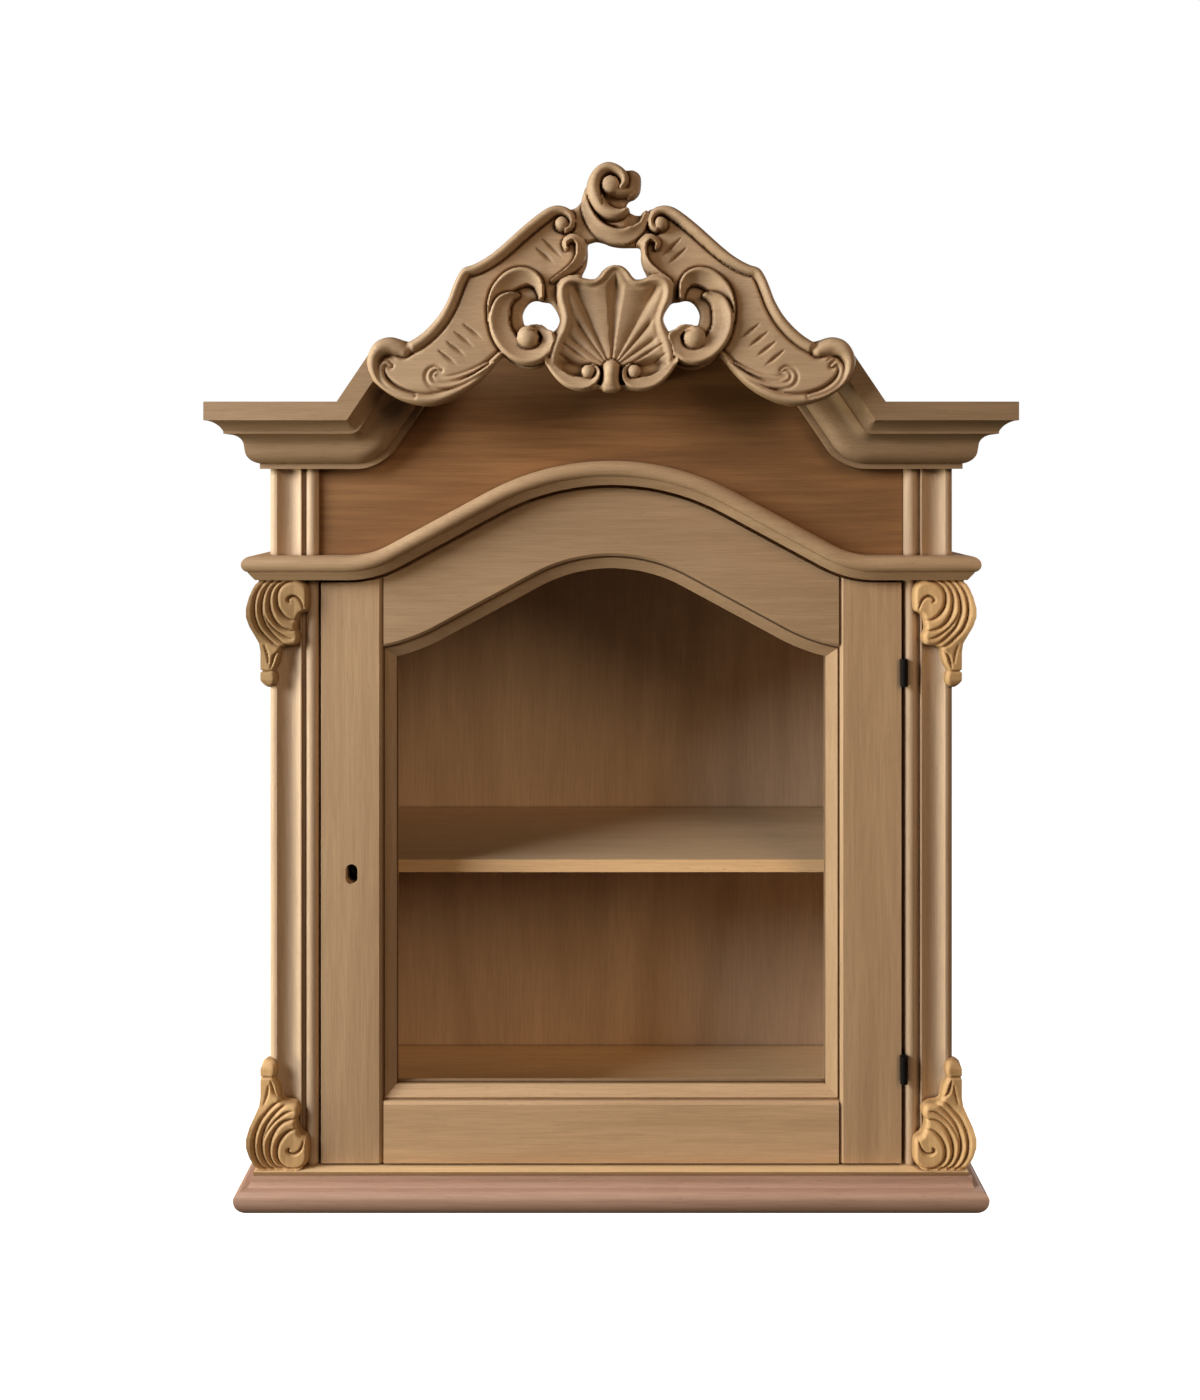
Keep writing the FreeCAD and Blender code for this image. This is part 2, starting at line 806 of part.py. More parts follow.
def lock_stile(blank, pegs_in):
    stile = blank.common(stile_region()).cut(fuse_all(pegs_in))
    stile = stile.cut(lock_case_block()).cut(bolt_box(0.0, -door_half, case_x))
    return stile.cut(keyhole(keyhole_wide, keyhole_tall, 0.0, case_front)).cut(lock_screws())


def hinge_stile(blank, pegs_in):
    return blank.common(mirrored(stile_region())).cut(fuse_all(pegs_in)).cut(door_screws())


def rail(blank, top, pegs_in):
    rest = blank.cut(stile_region()).cut(mirrored(stile_region()))
    mid = (arch_side + sight_low) / 2.0
    z0, z1 = (mid, carcass_top) if top else (0, mid)
    rest = rest.common(box(-door_half, door_half, face, face + door_thick, z0, z1))
    return fuse_all([rest] + [t for t in pegs_in if z0 < t.BoundBox.ZMin < z1])


def glass_pane():
    return opening_slab(pocket_wide - pane_clear, pane_front, pane_front + pane_thick)


def bead_ring():
    back = pane_front + pane_thick
    return opening_slab(pocket_wide, back, door_thick).cut(opening_slab(0.0, back, door_thick))


def bead_side_region():
    grow = pocket_wide
    x_out = sight_half + grow
    points = [(-x_out, sight_low - grow), (-sight_half, sight_low)]
    points += [(-sight_half, arch_height(sight_half, -rail_top_width))]
    points += [(-x_out, arch_height(x_out, grow - rail_top_width))]
    return slab(polygon(points), -door_thick, 0.0)


def beads():
    ring = bead_ring()
    side = bead_side_region()
    left = ring.common(side)
    rest = ring.cut(side).cut(mirrored(side))
    mid = (arch_side + sight_low) / 2.0
    top = rest.common(box(-door_half, door_half, face, 0, mid, carcass_top))
    bottom = rest.common(box(-door_half, door_half, face, 0, 0, mid))
    return {"left": left, "right": mirrored(left), "top": top, "bottom": bottom}


def rib_profile():
    edges = []
    a = volute_r
    for width in rib_widths:
        b = a + width
        edges.append(arc(V(a, 0, 0), V((a + b) / 2.0, -rib_rise * width, 0), V(b, 0, 0)))
        a = b
    outer = V(a, carving_deep, 0)
    inner = V(volute_r, carving_deep, 0)
    edges += [line(V(a, 0, 0), outer), line(outer, inner), line(inner, V(volute_r, 0, 0))]
    return Part.Face(Part.Wire(edges))


def volute_profile():
    ring = volute_r - volute_eye_r
    top = V(0, -rib_rise * volute_eye_r, 0)
    crown = V(volute_eye_r * math.sqrt(0.5), top.y * math.sqrt(0.5), 0)
    edges = [arc(top, crown, V(volute_eye_r, 0, 0))]
    mid = V(volute_eye_r + ring / 2.0, -rib_rise * ring, 0)
    edges.append(arc(V(volute_eye_r, 0, 0), mid, V(volute_r, 0, 0)))
    outer = V(volute_r, carving_deep, 0)
    inner = V(0, carving_deep, 0)
    edges += [line(V(volute_r, 0, 0), outer), line(outer, inner), line(inner, top)]
    return Part.Face(Part.Wire(edges))


def carving_half():
    ribs = rib_profile().revolve(V(0, 0, 0), V(0, -1, 0), rib_sweep)
    ribs.rotate(V(0, 0, 0), V(0, 1, 0), rib_start)
    volute = volute_profile().revolve(V(0, 0, 0), V(0, 1, 0), 360)
    both = ribs.fuse(volute)
    both.rotate(V(0, 0, 0), V(0, 0, 1), math.degrees(carving_tilt))
    both.translate(V(-half + carving_eye_in, face - carving_out, 0))
    wedge = [V(-half - far, face - far, 0), V(-half + far, face - far, 0), V(-half + far, face + far, 0)]
    front = Part.Face(Part.makePolygon(wedge + wedge[:1]))
    front.translate(V(0, 0, -far))
    return both.common(front.extrude(V(0, 0, 2 * far)))


def carving():
    front = carving_half()
    side = front.mirror(V(-half, face, 0), V(1, -1, 0))
    corner = V(-half, face, 0)
    tail_end = carving_eye_drop - carving_long
    tail_low = corner + V(0, 0, tail_end + bud_tall - tail_r)
    tail = Part.makeCone(tail_r, tail_root_r, tail_long, tail_low, V(0, 0, 1))
    stretch = FreeCAD.Matrix()
    stretch.scale(1.0, 1.0, bud_tall / (2.0 * bud_r))
    bud = Part.makeSphere(bud_r).transformGeometry(stretch)
    bud.translate(corner + V(0, 0, tail_end + bud_tall / 2.0))
    whole = fuse_all([front, side, tail, bud])
    above = box(-half - far, half, face - far, 0, carving_eye_drop, far)
    inside = box(-half, half, face, 0, -far, far)
    return whole.cut(above).cut(inside)


def upper_carving():
    shape = carving()
    shape.translate(V(0, 0, arch_mould_low - carving_eye_drop))
    return shape


def lower_carving():
    shape = carving().mirror(V(0, 0, 0), V(0, 0, 1))
    shape.translate(V(0, 0, base_height + carving_eye_drop))
    return shape


def crest_at(points):
    unit = crest_high / 100.0
    return [(x * unit, z * unit) for x, z in points]


def crest_curve(points):
    return spline(crest_at(points))


def crest_lines(points):
    corners = [V(x, 0, z) for x, z in crest_at(points)]
    return [line(a, b) for a, b in zip(corners, corners[1:])]


def wing():
    edges = [crest_curve([(11.2, 83.5), (17.4, 85.3), (22.6, 83.6), (35.2, 73), (48.2, 64.9)])]
    edges.append(crest_curve([(48.2, 64.9), (50.9, 59.4), (55.1, 50.6), (59.6, 45.1), (66.1, 40.6)]))
    edges.append(arc(*[V(x, 0, z) for x, z in crest_at([(66.1, 40.6), (73.2, 43.1), (79.7, 36.1)])]))
    under = [(79.7, 36.1), (77.1, 28.9), (71.5, 23.9), (61.5, 20.8), (47.9, 25.3), (36.1, 36.9)]
    edges.append(crest_curve(under))
    edges += crest_lines([(36.1, 36.9), (26.1, 47.7), (19.4, 61.9), (10.2, 63.3), (8.2, 69.3), (11.2, 83.5)])
    return Part.Wire(edges)


def wing_field():
    edges = [crest_curve([(14.9, 80.5), (20.3, 80.7), (32.8, 70.2), (45.5, 62)])]
    edges.append(crest_curve([(45.5, 62), (47.3, 57.8), (51.8, 48.6), (57.4, 41.9), (64.8, 36.9)]))
    edges.append(crest_curve([(64.8, 36.9), (67.1, 29.8), (61.5, 24.2), (50.3, 27.6), (40.2, 37.3)]))
    edges += crest_lines([(40.2, 37.3), (35.8, 47.7), (22.4, 64.5), (14.9, 66.3), (14.9, 80.5)])
    return Part.Wire(edges)


def pillow(place, radius, out):
    (x, z), = crest_at([place])
    return Part.makeSphere(radius, V(x, face - out, z))


def c_scroll():
    deep = crest_relief - scroll_step
    front = cornice_reach + deep
    (x0, z0), (x1, z1) = crest_at([(24.6, 49.3), (26.8, 42.5)])
    hollow = rod(V(x0, face - front, z0), V(0, 1, 0), scroll_r - scroll_rim, deep - crest_board)
    ring = rod(V(x0, face - front, z0), V(0, 1, 0), scroll_r, deep).cut(hollow)
    eye = rod(V(x1, face - front, z1), V(0, 1, 0), scroll_eye_r, deep)
    ball = Part.makeSphere(scroll_ball_r, V(x1, face - front + knob_sink, z1))
    return ring.fuse(eye).fuse(ball)


def shell():
    low = [(0, 25.3), (3.4, 26.8), (7.8, 25.7), (15.3, 27.9), (20.1, 33.9)]
    side = [(20.1, 33.9), (16.4, 39.5), (15.1, 48.1), (17.5, 61.5)]
    top = [(17.5, 61.5), (13.4, 63.3), (9.7, 63), (6, 62), (3, 64.5), (0, 66.5)]
    right = [crest_curve(points) for points in (low, side, top)]
    left = [crest_curve([(-x, z) for x, z in points]) for points in (low, side, top)]
    front = cornice_reach + crest_relief
    body = slab(Part.Wire(Part.__sortEdges__(right + left)), cornice_reach, front)
    (x, z), = crest_at([(0, 33.5)])
    root = V(x, face - front - flute_start_r, z)
    for turn in [-t for t in flute_turns] + flute_turns:
        way = V(math.sin(math.radians(turn)), 0, math.cos(math.radians(turn)))
        start = root + way * flute_from_root
        body = body.cut(Part.makeCone(flute_start_r, flute_end_r, flute_long, start, way))
    return body.fuse(pillow((0, 29.8), boss_r, front - knob_sink))


def top_curl():
    over = [(-12.7, 83.8), (-8.2, 93.9), (-1.1, 100), (5, 98.1), (9.3, 94.6), (8.2, 89.4), (5.2, 86.4)]
    edges = [crest_curve(over)]
    edges.append(crest_curve([(5.2, 86.4), (8.9, 83.5), (13.8, 82.3)]))
    edges += crest_lines([(13.8, 82.3), (10.8, 73), (0, 72.3), (-8.9, 73.4), (-12.7, 83.8)])
    front = cornice_reach + crest_relief - scroll_step / 2.0
    body = slab(Part.Wire(edges), cornice_reach, front)
    eye = (0.5, 92.4)
    (x, z), = crest_at([eye])
    middle = V(x, face - front, z)
    ring = Part.makeTorus(curl_groove_r, curl_groove_wide, middle, V(0, 1, 0), -180, 180, 250)
    return body.cut(ring).fuse(pillow(eye, curl_eye_r, front - knob_sink))


def crest():
    front = cornice_reach + crest_board
    border = slab(wing(), cornice_reach, front + crest_rim)
    half_crest = border.cut(slab(wing_field(), front, front + crest_rim))
    knobs = [pillow((71.9, 34.3), tip_knob_r, front - knob_sink), pillow((15.7, 79.4), upper_knob_r, front)]
    half_crest = half_crest.multiFuse([c_scroll()] + knobs)
    hole = Part.BSplineCurve()
    points = crest_at([(28.7, 50.3), (24.6, 55.1), (19.8, 54.2), (17.4, 49.7), (19, 46.2), (24.6, 46.9)])
    hole.interpolate([V(x, 0, z) for x, z in points], PeriodicFlag=True)
    cutter = slab(Part.Wire(hole.toShape()), cornice_reach, cornice_reach + 2 * crest_relief)
    whole = fuse_all([half_crest, mirrored(half_crest), shell(), top_curl()])
    whole = whole.cut(cutter).cut(mirrored(cutter))
    whole = whole.cut(box(-far, far, face - cornice_reach, face, -far, far))
    whole.translate(V(0, 0, cornice_low))
    return whole


def crest_block():
    high = pediment_top - block_drop
    return box(-block_half, block_half, face - cornice_reach, face + frieze_set_in, high - block_tall, high)


def carcass_nodes():
    side = side_panel()
    base_side = base_return()
    arch_side_piece = arch_moulding_return()
    cornice_side = cornice_return()
    cornice_left = cornice_front()
    high = upper_carving()
    low = lower_carving()
    return {
        "side_panel_left": side, "side_panel_right": mirrored(side),
        "bottom_board": bottom_board(), "top_board": top_board(),
        "back_panel": back_panel(), "hanging_rail": hanging_rail(),
        "shelf": shelf(), "shelf_pegs": pegs(),
        "corner_post_left": left_post(), "corner_post_right": right_post(),
        "frieze_panel": frieze_panel(), "arch_moulding_front": arch_moulding_front(),
        "arch_moulding_left": arch_side_piece, "arch_moulding_right": mirrored(arch_side_piece),
        "cornice_front_left": cornice_left, "cornice_front_right": mirrored(cornice_left),
        "cornice_side_left": cornice_side, "cornice_side_right": mirrored(cornice_side),
        "base_moulding_front": base_front(),
        "base_moulding_left": base_side, "base_moulding_right": mirrored(base_side),
        "carving_upper_left": high, "carving_upper_right": mirrored(high),
        "carving_lower_left": low, "carving_lower_right": mirrored(low),
        "crest": crest(), "crest_block": crest_block(),
        "carcass_dowels": dowels(), "back_screws": back_screws(), "door_stop": door_stop(),
        "strike_plate": strike_plate(), "strike_screws": strike_screws(),
        "hinge_frame_screws": frame_screws(),
    }


def door_nodes():
    blank = door_blank()
    pegs_in = tenons()
    nodes = {
        "door_stile_lock": lock_stile(blank, pegs_in), "door_stile_hinge": hinge_stile(blank, pegs_in),
        "door_rail_top": rail(blank, True, pegs_in), "door_rail_bottom": rail(blank, False, pegs_in),
        "glass_pane": glass_pane(), "hinge_door_screws": door_screws(),
        "lock_case": lock_case(), "lock_pin": lock_pin(), "lock_screws": lock_screws(),
        "lock_bolt": lock_bolt(),
    }
    for name, bead in beads().items():
        nodes["glazing_bead_" + name] = bead
    for name, z in hinge_heights.items():
        nodes["hinge_frame_leaf_" + name] = hinge_leaf(z, False)
        nodes["hinge_door_leaf_" + name] = hinge_leaf(z, True)
        nodes["hinge_pin_" + name] = hinge_pin(z)
    return nodes


def export(name, shape):
    solids = shape.removeSplitter().Solids
    whole = solids[0] if len(solids) == 1 else Part.makeCompound(solids)
    whole.translate(V(0, 0, -hang_height))
    whole.exportStep("parts/" + name + ".step")


os.makedirs("parts", exist_ok=True)
for nodes in (carcass_nodes(), door_nodes()):
    for name, shape in nodes.items():
        export(name, shape)
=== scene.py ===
import math

import bmesh
import bpy
import numpy as np
from mathutils import Matrix, Vector


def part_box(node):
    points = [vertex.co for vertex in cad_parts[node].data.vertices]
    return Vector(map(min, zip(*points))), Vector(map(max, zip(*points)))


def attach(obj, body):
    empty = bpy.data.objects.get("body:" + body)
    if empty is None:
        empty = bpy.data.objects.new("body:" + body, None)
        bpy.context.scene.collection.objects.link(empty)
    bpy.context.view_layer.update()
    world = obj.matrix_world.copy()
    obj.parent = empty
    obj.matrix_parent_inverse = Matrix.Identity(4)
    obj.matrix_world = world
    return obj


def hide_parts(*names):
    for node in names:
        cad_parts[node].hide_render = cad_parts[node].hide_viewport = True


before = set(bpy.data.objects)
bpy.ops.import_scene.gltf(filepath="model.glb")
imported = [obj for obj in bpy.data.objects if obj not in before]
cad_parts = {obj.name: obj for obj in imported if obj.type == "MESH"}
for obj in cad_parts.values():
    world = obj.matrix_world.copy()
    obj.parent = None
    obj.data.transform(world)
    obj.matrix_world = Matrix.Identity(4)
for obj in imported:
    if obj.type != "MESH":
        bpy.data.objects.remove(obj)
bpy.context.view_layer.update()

bl_info = {
    "name": "Carved wall cabinet",
    "version": (1, 0, 0),
    "blender": (4, 5, 0),
    "location": "3D View > Sidebar > Cabinet",
    "description": "Finishes a wall cabinet with raw wood, carving, glass and a plain studio",
    "category": "Object",
}


def both(*stems):
    return tuple(f"{stem}_{side}" for stem in stems for side in ("left", "right"))


# Which way the grain runs in each wooden part.
UPRIGHT = ("door_stile_lock", "door_stile_hinge", *both("side_panel", "glazing_bead"))
POSTS = both("corner_post")
ACROSS = ("arch_moulding_front", "door_rail_top", "door_rail_bottom", "glazing_bead_top",
          "glazing_bead_bottom", "crest_block", "top_board", "hanging_rail", "door_stop",
          *both("cornice_front"))
FRONT_TO_BACK = ("carcass_dowels", *both("arch_moulding", "cornice_side"))
BASE_SIDES = both("base_moulding")
# Painted light and shade on whole parts, each made paler or darker by one factor: the door's bottom
# rail, its stiles, the lower carvings and the upper right one paler, its top rail, the cornice and
# the upper left carving darker, the cornice darkest at the right.
PAINTED_BOARD_LIGHT = {"door_rail_bottom": 1.3, "door_rail_top": 0.88, "door_stile_hinge": 1.15,
               "door_stile_lock": 1.05, "cornice_front_left": 0.82, "cornice_side_left": 0.82,
               "cornice_front_right": 0.7, "cornice_side_right": 0.7}
PAINTED_CARVING_LIGHT = {"carving_upper_left": 0.74, "carving_upper_right": 1.08,
                 "carving_lower_left": 1.14, "carving_lower_right": 1.17}
# The shelf is a little darker and greyer than the back panel.
SHELF_TONE = (0.84, 0.81, 0.75)
# Painted light on front edges: the bottom board's front edge is painted darker than its top as
# shade, and the shelf's paler as light.
BOARD_EDGE_SHADE = (0.42, 0.36, 0.32)
SHELF_EDGE_LIGHT = (1.6, 1.46, 1.25)
# Metal parts.
HINGES = [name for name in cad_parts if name.startswith("hinge_")]
LOCK = ("lock_case", "lock_pin")
STEEL = ("lock_screws", "lock_bolt", "strike_plate", "strike_screws", "shelf_pegs", "back_screws")


def colour(name, text, value):
    return bpy.props.FloatVectorProperty(name=name, description=text, default=value,
                                         subtype="COLOR", size=3, min=0.0, max=1.0)


def number(name, text, value, **more):
    return bpy.props.FloatProperty(name=name, description=text, default=value, **more)


def length(name, text, value):
    return number(name, text, value, unit="LENGTH", precision=5)


def share(name, text, value):
    return number(name, text, value, min=0.0, soft_max=1.0)


def power(name, text, value):
    return number(name, text, value, unit="POWER")


class CabinetFinishes(bpy.types.PropertyGroup):
    """Colours of the woods, the glass and the metal."""

    pale_wood: colour("Pale wood", "Body, door and cornice", (0.52, 0.345, 0.208))
    pale_grain: colour("Pale grain", "Darker grain", (0.40, 0.25, 0.142))
    post_wood: colour("Post wood", "Corner posts, paler than the rest", (0.66, 0.475, 0.325))
    post_grain: colour("Post grain", "Darker grain", (0.53, 0.365, 0.24))
    crest_wood: colour("Crest wood", "Pierced crest", (0.56, 0.39, 0.25))
    crest_grain: colour("Crest grain", "Darker grain", (0.47, 0.315, 0.192))
    carving_wood: colour("Carving wood", "Corner carvings", (0.66, 0.42, 0.205))
    carving_grain: colour("Carving grain", "Darker grain", (0.52, 0.31, 0.14))
    # Painted shade: the dark colour mixed into the carving where it lies deep.
    painted_hollow_shade: colour("Carving hollows", "Deep cuts in the carving", (0.22, 0.12, 0.05))
    base_wood: colour("Base wood", "Base moulding, rosier than the rest", (0.58, 0.366, 0.285))
    base_grain: colour("Base grain", "Darker grain", (0.49, 0.298, 0.225))
    frieze_wood: colour("Frieze wood", "Brown panel over the door", (0.345, 0.17, 0.069))
    frieze_grain: colour("Frieze grain", "Darker grain", (0.205, 0.095, 0.037))
    # The inner wood is paler than the outer wood, and is also painted paler to stand in for light
    # inside the cabinet.
    inner_wood: colour("Inner wood", "Back panel and shelf", (0.81, 0.595, 0.405))
    inner_grain: colour("Inner grain", "Darker grain", (0.68, 0.477, 0.308))
    # The bottom board's wood is paler, and is also painted paler still to stand in for the light on
    # its top.
    step_wood: colour("Step wood", "Bottom board that shows over the base", (0.93, 0.66, 0.38))
    step_grain: colour("Step grain", "Darker grain", (0.83, 0.56, 0.31))
    hinge_black: colour("Hinge black", "Blackened hinge metal", (0.006, 0.005, 0.005))
    lock_steel: colour("Lock steel", "Bolt, pegs and screws", (0.45, 0.42, 0.38))
    lock_black: colour("Lock black", "Lock case and its pin", (0.03, 0.027, 0.025))
    glass_tint: colour("Glass tint", "Pane of the door", (0.04, 0.05, 0.045))
    glass_cover: share("Glass cover", "How much the pane hides when seen square on", 0.02)


class CrestSizes(bpy.types.PropertyGroup):
    """Sizes of the pierced crest and the corner carvings."""

    cell: length("Cell", "Spacing of the mesh that is carved", 0.001)
    edge_round: length("Edge round", "Width of the eased outer edge", 0.003)
    edge_drop: length("Edge drop", "How far the eased edge falls", 0.0035)
    ground: length("Ground", "Thickness of the crest where nothing is raised", 0.009)
    thinnest: length("Thinnest", "Least thickness left by any cut", 0.003)
    corner_cell: length("Corner cell", "Spacing of the mesh of the corner carvings", 0.0009)


class StudioSizes(bpy.types.PropertyGroup):
    """Camera, lights and floor."""

    lens: number("Lens", "Focal length", 32.14, unit="CAMERA")
    camera_back: length("Camera distance", "From the wall to the camera", 1.396)
    camera_height: length("Camera height", "Above the wall screws", 0.004)
    shift_across: number("Shift across", "Sideways lens shift", -0.008)
    shift_up: number("Shift up", "Upward lens shift", -0.1643)
    floor_height: length("Floor height", "Floor, from the wall screws", -1.75)
    key_power: power("Key power", "Soft light high at the left", 78.0)
    side_power: power("Side power", "Soft light that grazes from the left", 52.0)
    fill_power: power("Fill power", "Weak warm light from the front", 25.0)
    back_power: power("Back power", "Weak light on the right side and the back", 20.0)
    sky: share("Sky", "Even light from all round", 0.03)
    floor_glow: share("Floor glow", "Light of its own that keeps the floor pale", 1.0)


def finishes():
    return bpy.context.scene.cabinet_finishes


# Materials. The growth rings lean and lie off to one side, so that a board shows arched figure.

WHITE = (1.0, 1.0, 1.0)
RING_LEAN = {"X": (0.0, 0.0, 0.42), "Y": (0.42, 0.0, 0.0), "Z": (0.42, 0.0, 0.0)}
RING_HEART = {"X": (0.0, 0.9, 0.6), "Y": (0.8, 0.0, 0.7), "Z": (0.5, 1.1, 0.0)}
RING_STRETCH = (2.0, 8.0)
RING_LOOK = {"Scale": 1.0, "Distortion": 3.5, "Detail": 2.0, "Detail Scale": 0.6,
             "Detail Roughness": 0.5}
RING_RANGE = (0.45, 1.0)
# Patterns drawn out along the grain: scale along it, scale across it, detail, roughness, twist.
DRIFT = (1.6, 16.0, 3.0, 0.55, 0.3)
STREAK = (7.0, 150.0, 4.0, 0.6, 0.2)
FIBRE = (28.0, 900.0, 3.0, 0.65, 0.0)
PORE = (90.0, 1500.0, 1.0, 0.5, 0.0)
SCRATCH = (120.0, 2600.0, 2.0, 0.5, 0.0)
WIPE = (5.0, 22.0, 3.0, 0.6, 0.6)
# Mottled metal: scale, detail and roughness of the pattern.
MOTTLE = (260.0, 4.0, 0.6)
STREAK_RANGE = (0.32, 0.68)
MIDDLE_RANGE = (0.3, 0.7)
# What drift, fibres and pores do to the wood: range of the pattern, strength, tones at its ends.
WOOD_LAYERS = ((0.3, 0.75, 0.75, WHITE, (0.8, 0.77, 0.74)),
               (0.3, 0.7, 0.7, (1.06, 1.06, 1.06), (0.86, 0.85, 0.84)),
               (0.66, 0.76, 0.6, WHITE, (0.62, 0.57, 0.52)))
# How strong the rings and the streaks of each wood are, and how rough it is.
WOOD_LOOKS = {"pale": (0.22, 0.45, 0.62), "frieze": (0.4, 0.6, 0.55), "back": (0.4, 0.25, 0.62),
              "shelf": (0.3, 0.3, 0.62), "base": (0.3, 0.5, 0.42), "step": (0.2, 0.5, 0.62),
              "crest": (0.2, 0.5, 0.6), "carving": (0.3, 0.5, 0.6)}
ROUGH_RANGE = (0.25, 0.75)
ROUGH_BELOW, ROUGH_ABOVE = 0.1, 0.12
WOOD_GLOSS = 0.35
# Bumps: strength and depth.
WOOD_BUMP = (0.25, 0.0006)
METAL_BUMP = (0.15, 0.0002)
GLASS_BUMP = (0.03, 0.0002)
# How far the painted shade in joints and quirks reaches, and how dark it is on plain and on carved
# wood.
CREVICE_REACH = 0.005
CREVICE_RANGE = (0.25, 0.85)
CREVICE_SAMPLES = 6
CREVICE_TONE = (0.42, 0.34, 0.28)
CARVED_CREVICE_TONE = (0.6, 0.5, 0.42)
# Width over which the painted tone of a front edge fades in: shade on the bottom board, light on
# the shelf.
EDGE_BLEND = 0.0004
# How metallic each metal is, its least and most roughness, and its gloss.
METAL_LOOKS = {"hinge_black": (0.0, 0.55, 0.75, 0.1), "lock_black": (0.6, 0.35, 0.55, 0.5),
               "lock_steel": (1.0, 0.25, 0.45, 0.5)}
MOTTLE_DARK, MOTTLE_PALE = 0.75, 1.35
WIPE_PALE = 1.06
GLASS_ROUGH = (0.02, 0.07)
# How fast the pane's cover grows towards a slant, and how much it covers there.
SLANT_POWER = 5.0
SLANT_COVER = 0.8


def put(tree, node, inputs):
    """Give each input of a node a socket to read or a plain value."""
    for key, value in inputs.items():
        if isinstance(value, bpy.types.NodeSocket):
            tree.links.new(value, node.inputs[key])
        else:
            node.inputs[key].default_value = value


def add(tree, kind, inputs):
    node = tree.nodes.new(f"ShaderNode{kind}")
    put(tree, node, inputs)
    return node


def new_material(name):
    """A material, its tree, its shader and the coordinates of the part that it is on."""
    material = bpy.data.materials.new(name)
    material.use_nodes = True
    tree = material.node_tree
    coords = add(tree, "TexCoord", {}).outputs["Object"]
    return material, tree, tree.nodes["Principled BSDF"], coords


def stretched(tree, coords, axis, along, across):
    """A mapping that draws a pattern out along the grain."""
    scale = [along if a == axis else across for a in "XYZ"]
    return add(tree, "Mapping", {"Vector": coords, "Scale": scale})


def noise(tree, vector, scale, detail, rough, twist=0.0):
    return add(tree, "TexNoise", {"Vector": vector, "Scale": scale, "Detail": detail,
                                  "Roughness": rough, "Distortion": twist}).outputs["Fac"]


def grained(tree, coords, axis, along, across, *look):
    return noise(tree, stretched(tree, coords, axis, along, across).outputs["Vector"], 1.0, *look)


def spread(tree, value, low, high, to_low=0.0, to_high=1.0):
    """A number taken smoothly from one range to another."""
    node = add(tree, "MapRange", {"Value": value, "From Min": low, "From Max": high,
                                  "To Min": to_low, "To Max": to_high})
    node.interpolation_type = "SMOOTHSTEP"
    return node.outputs["Result"]


def mixed(tree, factor, first, second, blend="MIX"):
    """A colour mix; each of factor, first and second is a socket or a plain value."""
    node = tree.nodes.new("ShaderNodeMix")
    node.data_type = "RGBA"
    node.blend_type = blend
    first, second = (c if isinstance(c, bpy.types.NodeSocket) else (*c, 1.0)
                     for c in (first, second))
    put(tree, node, {0: factor, 6: first, 7: second})
    return node.outputs[2]


def sum_of(tree, first, second, share_of_second):
    node = tree.nodes.new("ShaderNodeMath")
    node.operation = "MULTIPLY_ADD"
    put(tree, node, {0: second, 1: share_of_second, 2: first})
    return node.outputs[0]


def bumps(tree, height, strength, deep):
    node = add(tree, "Bump", {"Height": height, "Strength": strength, "Distance": deep})
    return node.outputs["Normal"]


def toned(tone, *woods):
    """Colours made paler or darker by one number for each of red, green and blue."""
    return [[c * t for c, t in zip(wood, tone)] for wood in woods]


